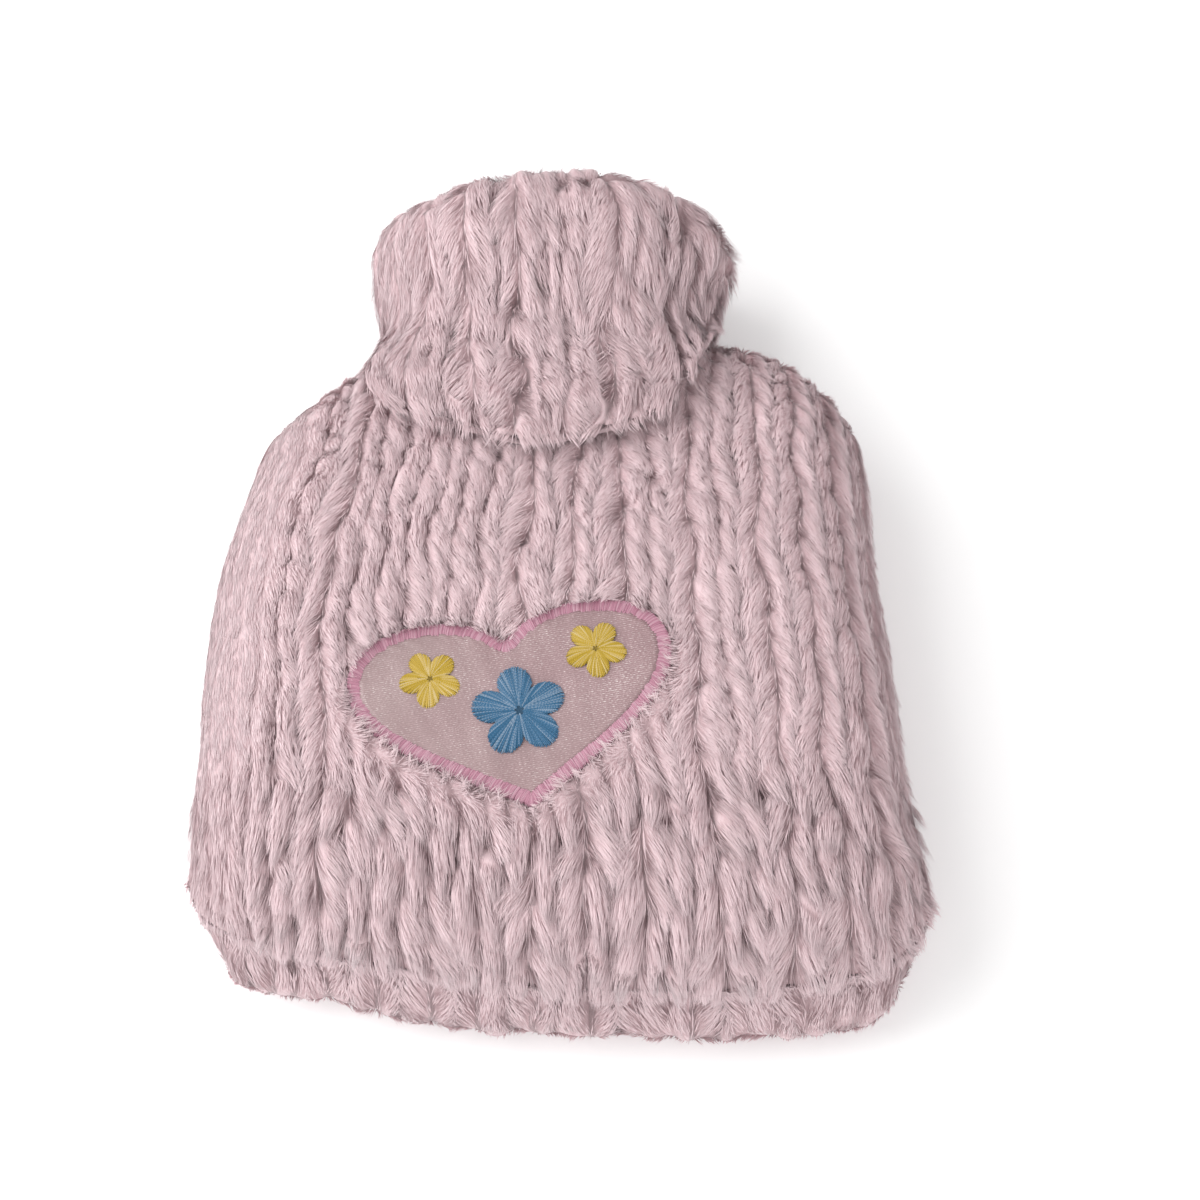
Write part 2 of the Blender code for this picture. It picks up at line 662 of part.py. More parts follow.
def collar_section(turn, groove):
    """Points of the hook-shaped section at one angle: up outside, over the fold, down to the neck,
    and back up and down between the two layers."""
    start = NECK_END + COLLAR_START_GAP
    hem = collar_hem(turn)
    fold = COLLAR_FOLD_SIDE + COLLAR_FOLD_RISE * abs(math.sin(turn)) ** COLLAR_FOLD_ROUND
    outside = 1.0 - COLLAR_UNEVEN * (1.0 + math.sin(COLLAR_UNEVEN_TIMES * turn))
    if groove:
        outside -= COLLAR_RIB_SHARE * ease(0.0, COLLAR_RIB_START, abs(math.sin(turn)))
    section = [(mix(COLLAR_OUTER_LAYER, outside, COLLAR_LIP), hem)]
    section += [(outside, mix(hem, fold, climb)) for climb in COLLAR_OUTSIDE]
    for share in COLLAR_FOLD:
        angle = math.pi * share
        section.append((outside * (0.5 + 0.5 * math.cos(angle)), fold + COLLAR_FOLD_REACH * math.sin(angle)))
    section += [(0.0, mix(start, fold, climb)) for climb in COLLAR_BORE]
    section += [(COLLAR_INNER_LAYER, mix(start, fold, climb)) for climb in COLLAR_BETWEEN_UP]
    section += [(COLLAR_OUTER_LAYER, mix(hem, fold, climb)) for climb in COLLAR_BETWEEN_DOWN]
    return [collar_point(turn, share, along) for share, along in section]


def build_collar(collection, finish):
    """One closed ring of its hook-shaped sections."""
    bm = bmesh.new()
    turns = collar_turns(COLLAR_RIBS * COLLAR_COLUMNS_PER_RIB)
    sections = [collar_section(turn, is_groove(index, COLLAR_COLUMNS_PER_RIB))
                for index, turn in enumerate(turns)]
    rings = [[bm.verts.new(point) for point in ring] for ring in zip(*sections)]
    join_grid(bm, rings + rings[:1], True)
    return add_object("collar", bm, collection, finish)


# ---- the patch ------------------------------------------------------------------------------

def heart_outline():
    """The heart's outline from its curves, round its own centre, right half and its mirror."""
    right, start = [], Vector(HEART_START)
    for bend in HEART_HALF:
        out_handle, in_handle = Vector(bend[0:2]), Vector(bend[2:4])
        end = Vector(bend[4:6])
        for step in range(HEART_STEPS):
            s = step / HEART_STEPS
            right.append(start * (1 - s) ** 3 + out_handle * 3 * s * (1 - s) ** 2
                         + in_handle * 3 * s * s * (1 - s) + end * s ** 3)
        start = end
    left = [Vector((-point.x, point.y)) for point in right[:0:-1]]
    return right + [start] + left


def drawn_in(outline, distance):
    """The outline moved inward by a distance, square to itself."""
    count = len(outline)
    moved = []
    for index, point in enumerate(outline):
        run = (outline[(index + 1) % count] - outline[index - 1]).normalized()
        moved.append(point + Vector((run.y, -run.x)) * distance)
    return moved


def on_front(p, q, height):
    """A point on the heart's own axes, at a height over the pressed ribs of the front panel."""
    cosine, sine = math.cos(HEART_TURN), math.sin(HEART_TURN)
    x = HEART_CENTRE[0] + p * cosine - q * sine
    y = HEART_CENTRE[1] + p * sine + q * cosine
    return Vector((x, y, front_height(x, y) - HEART_PRESS + HEART_CLEARANCE + height))


def build_heart(collection, finish):
    bm = bmesh.new()
    outline = drawn_in(heart_outline(), BORDER_WIDTH + PATCH_GAP)
    faces = []
    for height in (0.0, HEART_THICKNESS):
        rings = [[bm.verts.new(on_front(point.x * scale, point.y * scale, height)) for point in outline]
                 for scale in HEART_RINGS]
        join_grid(bm, [ring + ring[:1] for ring in rings], False)
        middle = bm.verts.new(on_front(0.0, 0.0, height))
        inner = rings[-1]
        for index, vert in enumerate(inner):
            bm.faces.new((vert, inner[(index + 1) % len(inner)], middle))
        faces.append(rings[0])
    join_grid(bm, [faces[0] + faces[0][:1], faces[1] + faces[1][:1]], False)
    return add_object("heart_patch", bm, collection, finish)


def build_border(collection, finish):
    """The stitched edge: a low ring with a rounded top round the satin."""
    bm = bmesh.new()
    outer = heart_outline()
    rings = []
    for step in BORDER_SECTION:
        points = drawn_in(outer, BORDER_WIDTH * step.inward)
        rings.append([bm.verts.new(on_front(p.x, p.y, BORDER_HEIGHT * step.upward)) for p in points])
    join_grid(bm, [ring + ring[:1] for ring in rings + rings[:1]], False)
    return add_object("heart_border", bm, collection, finish)


def build_flower(collection, flower):
    """Five rounded petals in one outline, a thin raised pad of thread on the satin."""
    bm = bmesh.new()
    base = HEART_THICKNESS + PATCH_GAP
    count = PETALS * PETAL_STEPS
    rims = []
    for height in (base, base + FLOWER_THICKNESS):
        rim = []
        for step in range(count):
            angle = math.tau * step / count + math.radians(flower.turn)
            petal = abs(math.cos(PETALS * math.pi * step / count))
            reach = flower.radius * mix(PETAL_WAIST, 1.0, petal ** PETAL_ROUND)
            rim.append(bm.verts.new(on_front(flower.across + reach * math.cos(angle),
                                             flower.along + reach * math.sin(angle), height)))
        middle = bm.verts.new(on_front(flower.across, flower.along, height))
        for index, vert in enumerate(rim):
            bm.faces.new((vert, rim[(index + 1) % count], middle))
        rims.append(rim)
    join_grid(bm, [rims[0] + rims[0][:1], rims[1] + rims[1][:1]], False)
    thread = material(flower.name + "_thread", flower.colour, THREAD_ROUGHNESS)
    return add_object(flower.name, bm, collection, thread)


# ---- the object -----------------------------------------------------------------------------

def main():
    clear_scene()
    parts = new_collection("bottle_cover")
    cutters = new_collection("cutters")
    cavity = build_cavity(cutters)
    bore = build_bore(cutters)
    front = build_front(parts, material("plush_front", PLUSH_PINK, PLUSH_ROUGHNESS))
    back = build_back(parts, material("plush_back", PLUSH_PINK_BACK, PLUSH_ROUGHNESS))
    for panel in (front, back):
        cut(panel, cavity)
        cut(panel, bore)
    build_collar(parts, material("plush_collar", PLUSH_PINK, PLUSH_ROUGHNESS))
    build_heart(parts, material("satin", SATIN_PINK, SATIN_ROUGHNESS))
    build_border(parts, material("border_thread", THREAD_PINK, THREAD_ROUGHNESS))
    for flower in FLOWERS:
        build_flower(parts, flower)


main()
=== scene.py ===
"""Looks of the plush hot water bottle cover: its pile, satin heart and embroidery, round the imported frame.

Metres, +Z up. The cover lies on its back with its bottom hem towards -Y. Each plush piece is the mass of
its pile, with wavy ribs and twisted locks raised in it, and hairs combed over that mass. Each stitch of
the heart's border and of the flowers is a thread of its own.
"""

import sys
import logging
import math
from dataclasses import dataclass
from enum import Enum
from typing import Optional, Sequence

import bmesh
import bpy
import numpy as np
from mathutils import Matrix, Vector


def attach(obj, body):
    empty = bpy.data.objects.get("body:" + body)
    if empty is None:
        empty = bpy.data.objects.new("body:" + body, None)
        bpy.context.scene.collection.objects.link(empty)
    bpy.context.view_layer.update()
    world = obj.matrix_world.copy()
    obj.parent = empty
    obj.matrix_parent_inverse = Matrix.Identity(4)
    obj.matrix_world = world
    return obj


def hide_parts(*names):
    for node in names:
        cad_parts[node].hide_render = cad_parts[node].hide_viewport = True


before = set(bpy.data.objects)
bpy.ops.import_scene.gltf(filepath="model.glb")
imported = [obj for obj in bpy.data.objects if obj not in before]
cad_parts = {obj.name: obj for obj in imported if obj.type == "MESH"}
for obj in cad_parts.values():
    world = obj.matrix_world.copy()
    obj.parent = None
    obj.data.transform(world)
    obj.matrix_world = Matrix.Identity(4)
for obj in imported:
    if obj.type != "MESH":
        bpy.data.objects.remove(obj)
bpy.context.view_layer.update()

LOG = logging.getLogger("bottle_cover")
MM = 0.001

Array = np.ndarray
Number = float | np.ndarray
Colour = Triple = tuple[float, float, float]
Mesh, Material, Piece, Socket = bpy.types.Mesh, bpy.types.Material, bpy.types.Object, bpy.types.NodeSocket
Value = Optional[Socket | float | int | str | tuple | bpy.types.ID]
BLACK, WHITE = (0.0, 0.0, 0.0), (1.0, 1.0, 1.0)


# ---- small mathematics ----------------------------------------------------------------------

def mix(low: Number, high: Number, share: Number) -> Number:
    """Value a share of the way from low to high."""
    return low + (high - low) * share


def mix_colour(low: Colour, high: Colour, share: float) -> Colour:
    """A colour a share of the way from low to high."""
    return tuple(mix(a, b, share) for a, b in zip(low, high))


def ease(low: float, high: float, value: Number) -> Array:
    """0 below low, 1 above high, and smooth between them; low may be the larger, which turns it round."""
    share = np.clip((value - low) / (high - low), 0.0, 1.0)
    return share * share * (3.0 - 2.0 * share)


def unit(vectors: Array) -> Array:
    """Vectors of length 1 along the last axis."""
    return vectors / np.maximum(np.linalg.norm(vectors, axis=-1, keepdims=True), 1e-9)


def dome(distance: Array, radius: float, power: float = 2.2) -> Array:
    """Height share at a distance in from an edge: 0 on the edge, 1 once a radius inside it."""
    share = np.clip(distance / radius, 0.0, 1.0)
    return (1.0 - (1.0 - share) ** power) ** (1.0 / power)


def travelled(steps: Array) -> Array:
    """Distance travelled at the end of each step, and 0 at the start."""
    return np.concatenate(([0.0], np.cumsum(steps)))


def soft_noise(x: Array, y: Array, seed: int, cells: int = 64) -> Array:
    """Smooth noise from 0 to 1 with features about one unit long.

    Args:
        x: first coordinate.
        y: second coordinate.
        seed: which noise.
        cells: after how many units it repeats.

    Returns:
        The noise at each place.
    """
    table = np.random.default_rng(seed).random((cells, cells))
    column, row = np.floor(x).astype(int), np.floor(y).astype(int)
    fx, fy = (f * f * (3 - 2 * f) for f in (x - column, y - row))
    corner = [table[(row + down) % cells, (column + right) % cells] for down in (0, 1) for right in (0, 1)]
    return mix(mix(corner[0], corner[1], fx), mix(corner[2], corner[3], fx), fy)


def blurred(grid: Array, wraps: bool, rounds: int = 1) -> Array:
    """A grid with each value mixed with its neighbours', along its columns and its rows.

    Args:
        grid: the values.
        wraps: whether its columns run round.
        rounds: how many times to mix them.

    Returns:
        The mixed grid, of the same size.
    """
    for _ in range(rounds):
        before, after = (grid[:, -1:], grid[:, :1]) if wraps else (grid[:, :1], grid[:, -1:])
        wide = np.concatenate((before, grid, after), axis=1)
        grid = (wide[:, :-2] + 2.0 * grid + wide[:, 2:]) / 4.0
        tall = np.concatenate((grid[:1], grid, grid[-1:]))
        grid = (tall[:-2] + 2.0 * grid + tall[2:]) / 4.0
    return grid


def neighbour_steps(grid: Array, wraps: bool) -> tuple[Array, Array]:
    """Differences of a grid along its columns and along its rows."""
    across = (np.roll(grid, -1, axis=1) - np.roll(grid, 1, axis=1)) / 2 if wraps else np.gradient(grid, axis=1)
    return across, np.gradient(grid, axis=0)


def grid_normals(grid: Array, wraps: bool, steadied: int = 4) -> Array:
    """A grid's outward normals.

    Args:
        grid: its points.
        wraps: whether its columns run round.
        steadied: how many rows and columns at a corner share one normal, where it doesn't.

    Returns:
        A normal for each point.
    """
    sideways, downward = neighbour_steps(grid, wraps)
    normals = unit(np.cross(downward, sideways))
    near, far = (slice(0, steadied), steadied), (slice(-steadied, None), -steadied - 1)
    for rows, row in () if wraps else (near, far):
        for columns, column in (near, far):
            normals[rows, columns] = normals[row, column]
    return normals


def bilinear(grid: Array, row: Array, column: Array, wraps: bool) -> Array:
    """Values of a grid between its rows and columns, held at its edges.

    Args:
        grid: the values.
        row: places along its rows.
        column: places along its columns.
        wraps: whether its columns run round.

    Returns:
        The values there.
    """
    rows, columns = grid.shape[:2]
    row = np.clip(row, 0.0, rows - 1.001)
    column = column % columns if wraps else np.clip(column, 0.0, columns - 1.001)
    top, left = np.floor(row).astype(int), np.floor(column).astype(int) % columns
    fr, fc = row - top, column - np.floor(column)
    if grid.ndim == 3:
        fr, fc = fr[..., None], fc[..., None]
    right = (left + 1) % columns
    return mix(mix(grid[top, left], grid[top, right], fc), mix(grid[top + 1, left], grid[top + 1, right], fc), fr)


def even_places(count: int, span: float, low_radius: float, high_radius: float, rise: float) -> Array:
    """Places from 0 to 1 across a domed span, evenly spaced along the dome itself.

    Args:
        count: how many.
        span: length of the span.
        low_radius: radius of its rounding at 0.
        high_radius: the same at 1.
        rise: height of the dome.

    Returns:
        The places.
    """
    fine = np.linspace(0.0, 1.0, 801)
    height = rise * dome(fine * span, low_radius) * dome((1.0 - fine) * span, high_radius)
    length = travelled(np.hypot(np.diff(fine) * span, np.diff(height)))
    return np.interp(np.linspace(0.0, length[-1], count), length, fine)


class Table:
    """A short table of rows, read between its rows along smooth curves."""

    def __init__(self, columns: str, *rows: Sequence[float]) -> None:
        """Keep the rows of numbers, the first column of which is the one that places are given in."""
        self.columns = dict(zip(columns.split(), np.array(rows, dtype=float).T))
        self.keys = next(iter(self.columns.values()))

    def read(self, column: str, place: Number) -> Array:
        """Value of a column at places between the rows.

        Args:
            column: the column's name.
            place: where to read it, on the first column.

        Returns:
            The values, held at the first and the last row's outside the table.
        """
        keys, values = self.keys, self.columns[column]
        last = len(keys) - 1
        low, high = np.maximum(np.arange(last + 1) - 1, 0), np.minimum(np.arange(last + 1) + 1, last)
        slopes = (values[high] - values[low]) / (keys[high] - keys[low])
        place = np.clip(np.asarray(place, dtype=float), keys[0], keys[-1])
        at = np.clip(np.searchsorted(keys, place) - 1, 0, last - 1)
        run = keys[at + 1] - keys[at]
        s = (place - keys[at]) / run
        return ((2 * s ** 3 - 3 * s ** 2 + 1) * values[at] + (s ** 3 - 2 * s ** 2 + s) * run * slopes[at]
                + (3 * s ** 2 - 2 * s ** 3) * values[at + 1] + (s ** 3 - s ** 2) * run * slopes[at + 1])


# ---- the cover's form, as the frame has it ----------------------------------------------------

class Form:
    """The smooth form of the pouch and its collar, in the same sizes as the solids."""

    SEAM_HEIGHT, SEAM_GAP = 0.0280, 0.0003
    NECK_END, NECK_HALF_WIDTH, NECK_FLAT_SHARE = 0.0760, 0.0365, 0.56
    SIDE_RADIUS, HEM_RADIUS, SHOULDER_RADIUS, BACK_RADIUS = 0.034, 0.038, 0.034, 0.020
    BACK_FLATTEN = 1.12
    BACK_BULGE_SIDE, BACK_BULGE_HEM, BACK_BULGE_LOW = 0.0012, 0.0120, 1.5
    RIBS = 34
    SWAY, SWAY_LENGTH, SWAY_SKEW, SWAY_SKEWS = 0.0007, 0.0310, 3.1, 7.0
    DRIFT_SHARE, DRIFT_LENGTH, DRIFT_SKEW = 0.5, 0.1100, 2.4

    BODY = Table(
        "along left right crown underside",
        (-0.1180, -0.0960, 0.0985, 0.0540, 0.0000), (-0.0860, -0.0955, 0.0964, 0.0555, 0.0000),
        (-0.0570, -0.0950, 0.0917, 0.0568, 0.0000), (-0.0290, -0.0938, 0.0892, 0.0573, 0.0000),
        (0.0000, -0.0915, 0.0862, 0.0568, 0.0000), (0.0200, -0.0872, 0.0850, 0.0548, 0.0000),
        (0.0360, -0.0838, 0.0838, 0.0520, 0.0000), (0.0500, -0.0820, 0.0828, 0.0495, 0.0022),
        (0.0640, -0.0800, 0.0815, 0.0470, 0.0080), (0.0760, -0.0780, 0.0790, 0.0455, 0.0105),
        (0.0900, -0.0770, 0.0780, 0.0455, 0.0105))
    BOTTOM_EDGE = Table(
        "across along",
        (-1.00, -0.0820), (-0.965, -0.0900), (-0.86, -0.0965), (-0.60, -0.1022), (-0.30, -0.1070),
        (0.00, -0.1105), (0.40, -0.1110), (0.70, -0.1085), (0.86, -0.1040), (0.96, -0.0960),
        (1.00, -0.0870))
    SHOULDER_EDGE = Table(
        "across along",
        (-1.00, 0.0390), (-0.97, 0.0465), (-0.90, 0.0530), (-0.76, 0.0635), (-0.65, 0.0705),
        (-NECK_FLAT_SHARE, NECK_END), (NECK_FLAT_SHARE, NECK_END), (0.65, 0.0752), (0.76, 0.0712),
        (0.86, 0.0642), (0.93, 0.0565), (0.975, 0.0500), (1.00, 0.0420))
    COLLAR = Table(
        "along centre half_width half_height middle bore_width bore_height",
        (0.0300, -0.0020, 0.0465, 0.0258, 0.0280, 0.0320, 0.0125),
        (0.0550, -0.0025, 0.0480, 0.0258, 0.0280, 0.0320, 0.0125),
        (0.0760, -0.0026, 0.0470, 0.0258, 0.0280, 0.0320, 0.0125),
        (0.0840, -0.0028, 0.0482, 0.0267, 0.0282, 0.0330, 0.0125),
        (0.0940, -0.0024, 0.0515, 0.0285, 0.0287, 0.0365, 0.0135),
        (0.1040, -0.0024, 0.0530, 0.0292, 0.0290, 0.0380, 0.0145),
        (0.1120, -0.0024, 0.0522, 0.0288, 0.0290, 0.0385, 0.0150),
        (0.1300, -0.0024, 0.0510, 0.0280, 0.0290, 0.0385, 0.0150))

    @classmethod
    def width_at(cls, along: Array) -> tuple[Array, Array]:
        """The pouch's middle line and half width at places along the cover."""
        left, right = cls.BODY.read("left", along), cls.BODY.read("right", along)
        return (left + right) / 2, (right - left) / 2

    @classmethod
    def across(cls, x: Array, y: Array) -> Array:
        """Share of the half width at points of the plan, from -1 to 1."""
        centre, half_width = cls.width_at(y)
        return np.clip((x - centre) / half_width, -1.0, 1.0)

    @classmethod
    def shoulder_edge(cls, across: Array) -> Array:
        """Where the panels' top edge runs, straight at the neck."""
        edge = cls.SHOULDER_EDGE.read("along", across)
        return np.where(np.abs(across) <= cls.NECK_FLAT_SHARE, cls.NECK_END, edge)

    @classmethod
    def plan(cls, rows: int, columns: int, rise: float, side: float, hem: float, top: float
             ) -> tuple[Array, Array, Array]:
        """A panel's grid seen from above, even along its rounded form, left to right from its shoulders.

        Args:
            rows: how many rows.
            columns: how many columns.
            rise: how far the form rises from its edges.
            side: radius of the rounding at the sides.
            hem: radius at the hem.
            top: radius at the shoulders.

        Returns:
            Each point's share of the half width, its share of the length and its place along the cover.
        """
        width = 2 * float(cls.width_at(0.0)[1])
        length = cls.NECK_END - float(cls.BOTTOM_EDGE.read("along", 0.0))
        across, row = np.meshgrid(2.0 * even_places(columns, width, side, side, rise) - 1.0,
                                  even_places(rows, length, hem, top, rise)[::-1])
        return across, row, mix(cls.BOTTOM_EDGE.read("along", across), cls.shoulder_edge(across), row)

    @classmethod
    def shares(cls, across: Array, along: Array, side: float, hem: float, top: float) -> Array:
        """How far the form has risen from its edges at each place.

        Args:
            across: share of the half width, from -1 to 1.
            along: place along the cover.
            side: radius of the rounding at the sides.
            hem: radius at the hem.
            top: radius at the shoulders.

        Returns:
            The shares from the side, the hem and the shoulders, stacked.
        """
        from_side = dome((1.0 - np.abs(across)) * cls.width_at(along)[1], side)
        from_hem = dome(along - cls.BOTTOM_EDGE.read("along", across), hem)
        reach = np.abs(across) * cls.width_at(cls.NECK_END)[1] / cls.NECK_HALF_WIDTH
        arch = np.sqrt(np.clip(1.0 - reach * reach, 0.0, 1.0))
        return np.stack((from_side, from_hem, mix(arch, 1.0, dome(cls.shoulder_edge(across) - along, top))))

    @classmethod
    def front_height(cls, x: Array, y: Array) -> Array:
        """Height of the front panel's rib tops.

        Args:
            x: place across, of points of the plan.
            y: place along.

        Returns:
            The height there, which is the seam's beyond the neck's end.
        """
        shares = cls.shares(cls.across(x, y), y, cls.SIDE_RADIUS, cls.HEM_RADIUS, cls.SHOULDER_RADIUS)
        height = mix(cls.SEAM_HEIGHT, cls.BODY.read("crown", y), shares.prod(axis=0))
        return np.where(y > cls.NECK_END + 1e-6, cls.SEAM_HEIGHT, height)

    @classmethod
    def back_share(cls, across: Array, along: Array) -> tuple[Array, Array]:
        """How far the back panel has reached towards its flat base.

        Args:
            across: share of the half width, from -1 to 1.
            along: place along the cover.

        Returns:
            How far it has, and its shares from each edge.
        """
        radius = cls.BACK_RADIUS
        shares = cls.shares(across, along, radius, radius, radius)
        flatten = mix(1.0, cls.BACK_FLATTEN, ease(0.0, radius, cls.NECK_END - along))
        return np.minimum(1.0, flatten * shares.prod(axis=0)), shares

    @classmethod
    def underside(cls, along: Array) -> Array:
        """Clear height under the back panel."""
        return np.maximum(0.0, cls.BODY.read("underside", along))

    @classmethod
    def back_height(cls, x: Array, y: Array) -> Array:
        """Height of the back panel's underside over points of the plan."""
        height = mix(cls.SEAM_HEIGHT, cls.underside(y), cls.back_share(cls.across(x, y), y)[0])
        return np.where(y > cls.NECK_END + 1e-6, cls.SEAM_HEIGHT, height)

    @classmethod
    def sway(cls, across: Array, along: Array, row_share: Array) -> Array:
        """Sideways swing of the wavy ribs.

        Args:
            across: share of the half width, from -1 to 1.
            along: place along the cover.
            row_share: share of the panel's length there.

        Returns:
            The swing, which is none on the panel's edges.
        """
        fade = (1.0 - across ** 6) * np.minimum(1.0, 8.0 * row_share * (1.0 - row_share))
        wave = np.sin(math.tau * along / cls.SWAY_LENGTH + cls.SWAY_SKEW * np.sin(cls.SWAY_SKEWS * across))
        drift = np.sin(math.tau * along / cls.DRIFT_LENGTH + cls.DRIFT_SKEW * across)
        return cls.SWAY * fade * (wave + cls.DRIFT_SHARE * drift)

    @classmethod
    def close_seam(cls, heights: Array, side: float) -> None:
        """Bring a panel's hem and sides to the seam, above it with a side of 1 and below it with -1."""
        for edge in (heights[-1], heights[:, 0], heights[:, -1]):
            edge[:] = cls.SEAM_HEIGHT + side * cls.SEAM_GAP / 2


# ---- meshes -----------------------------------------------------------------------------------

def link(name: str, data: bpy.types.ID) -> Piece:
    """Put an object with these data in the scene, at the origin.

    Args:
        name: the object's name.
        data: its mesh, camera or light.

    Returns:
        The object.
    """
    thing = bpy.data.objects.new(name, data)
    bpy.context.scene.collection.objects.link(thing)
    return thing


def make_object(name: str, points: Array, faces: Sequence[Sequence[int]], *finishes: Material) -> Piece:
    """An object at the origin with a smooth mesh.

    Args:
        name: its name.
        points: the mesh's points.
        faces: its faces, as numbers of points.
        finishes: its materials.

    Returns:
        The object.
    """
    mesh = bpy.data.meshes.new(name)
    mesh.from_pydata(points.tolist(), [], faces)
    mesh.validate()
    mesh.shade_smooth()
    for finish in finishes:
        mesh.materials.append(finish)
    return link(name, mesh)


def face_up(piece: Piece) -> Piece:
    """Turn every face of a closed mesh outward.

    Args:
        piece: the object whose mesh it is.

    Returns:
        The same object.
    """
    bm = bmesh.new()
    bm.from_mesh(piece.data)
    bmesh.ops.recalc_face_normals(bm, faces=bm.faces)
    bm.to_mesh(piece.data)
    bm.free()
    return piece


def ring_faces(grid: Array, closed: bool = True) -> Array:
    """Quads between the rows of a grid of point numbers.

    Args:
        grid: the numbers.
        closed: whether each row runs round to its start.

    Returns:
        The quads, row after row.
    """
    after = np.roll(grid, -1, axis=1)
    quads = np.stack((grid[:-1], after[:-1], after[1:], grid[1:]), axis=-1)
    return (quads if closed else quads[:, :-1]).reshape(-1, 4)


def bridge(long: Array, short: Array, closed: bool, turned: bool) -> list[tuple[int, int, int]]:
    """Triangles between a row of many points and a row of few.

    Args:
        long: the row of many points.
        short: the row of few, starting beside it.
        closed: whether the rows run round to their start.
        turned: which way the triangles face.

    Returns:
        The triangles.
    """
    many, few = long.tolist(), short.tolist()
    if closed:
        many, few = many + many[:1], few + few[:1]
    faces, i, j = [], 0, 0
    while i < len(many) - 1 or j < len(few) - 1:
        if j == len(few) - 1 or (i < len(many) - 1 and (i + 1) / (len(many) - 1) <= (j + 1) / (len(few) - 1)):
            face, i = (many[i], many[i + 1], few[j]), i + 1
        else:
            face, j = (many[i], few[j + 1], few[j]), j + 1
        faces.append(face if turned else face[::-1])
    return faces


def write_points(mesh: Mesh, **values: Array) -> None:
    """Keep values as attributes of a mesh's points.

    Args:
        mesh: the mesh.
        values: by name, a number or a row of three numbers for each point.
    """
    for name, value in values.items():
        kind, key = ("FLOAT_VECTOR", "vector") if value.ndim > 1 else ("FLOAT", "value")
        data = mesh.attributes.new(name, kind, "POINT").data
        data.foreach_set(key, np.ascontiguousarray(value, dtype=np.float32).ravel())


def read_points(mesh: Mesh, name: str) -> Array:
    """Read an attribute of a mesh's points.

    Args:
        mesh: the mesh.
        name: the attribute's name.

    Returns:
        A number or a row of three numbers for each point.
    """
    attribute = mesh.attributes[name]
    vector = attribute.data_type == "FLOAT_VECTOR"
    values = np.empty(len(mesh.vertices) * (3 if vector else 1), dtype=np.float32)
    attribute.data.foreach_get("vector" if vector else "value", values)
    return values.reshape(-1, 3) if vector else values


def write_map(mesh: Mesh, name: str, *places: Array) -> None:
    """Give a mesh a UV map.

    Args:
        mesh: the mesh.
        name: the map's name.
        places: the two numbers of each of its points.
    """
    corners = np.empty(len(mesh.loops), dtype=np.int32)
    mesh.loops.foreach_get("vertex_index", corners)
    uv = np.stack(places, axis=1).astype(np.float32)
    mesh.uv_layers.new(name=name).data.foreach_set("uv", uv[corners].ravel())


# ---- node trees -------------------------------------------------------------------------------

class Graph:
    """A node tree under construction, with short ways to add its nodes."""

    def __init__(self, tree: bpy.types.NodeTree) -> None:
        """Start with a tree."""
        self.tree = tree

    def feed(self, socket: Socket, value: Value) -> None:
        """Link a socket to another one, or give it a value of its own.

        Args:
            socket: what is fed.
            value: the other socket or the value; None leaves it as it is.
        """
        if isinstance(value, bpy.types.NodeSocket):
            self.tree.links.new(value, socket)
        elif value is not None:
            socket.default_value = value

    def add(self, kind: str, inputs: Optional[dict[str | int, Value]] = None, **settings: object) -> bpy.types.Node:
        """Add a node.

        Args:
            kind: its type.
            inputs: what each named or numbered input is fed.
            settings: its other properties.

        Returns:
            The node.
        """
        node = self.tree.nodes.new(kind)
        for name, value in settings.items():
            setattr(node, name, value)
        for key, value in (inputs or {}).items():
            self.feed(node.inputs[key], value)
        return node

    def math(self, operation: str, a: Value, b: Value = None, clamp: bool = False) -> Socket:
        """Result of a sum on one or two numbers."""
        return self.add("ShaderNodeMath", {0: a, 1: b}, operation=operation, use_clamp=clamp).outputs[0]

    def plus(self, a: Value, b: Value) -> Socket:
        """One number and another."""
        return self.math("ADD", a, b)

    def times(self, a: Value, b: Value) -> Socket:
        """One number times another."""
        return self.math("MULTIPLY", a, b)

    def centred(self, a: Value) -> Socket:
        """A number from 0 to 1, less a half."""
        return self.math("SUBTRACT", a, 0.5)

    def vector(self, operation: str, a: Value, b: Value = None, scale: Value = None) -> Socket:
        """Vector that a sum on one or two vectors gives."""
        return self.add("ShaderNodeVectorMath", {0: a, 1: b, 3: scale}, operation=operation).outputs[0]

    def scaled(self, vector: Value, scale: Value) -> Socket:
        """A vector times a number."""
        return self.vector("SCALE", vector, scale=scale)

    def parts(self, vector: Value) -> list[Socket]:
        """The three numbers of a vector."""
        return list(self.add("ShaderNodeSeparateXYZ", {0: vector}).outputs)

    def whole(self, x: Value, y: Value = 0.0, z: Value = 0.0) -> Socket:
        """A vector of three numbers."""
        return self.add("ShaderNodeCombineXYZ", {0: x, 1: y, 2: z}).outputs[0]


def live(sockets: Sequence[Socket], name: str) -> Socket:
    """The socket of a name that is in use."""
    return next(socket for socket in sockets if socket.name == name and socket.enabled)


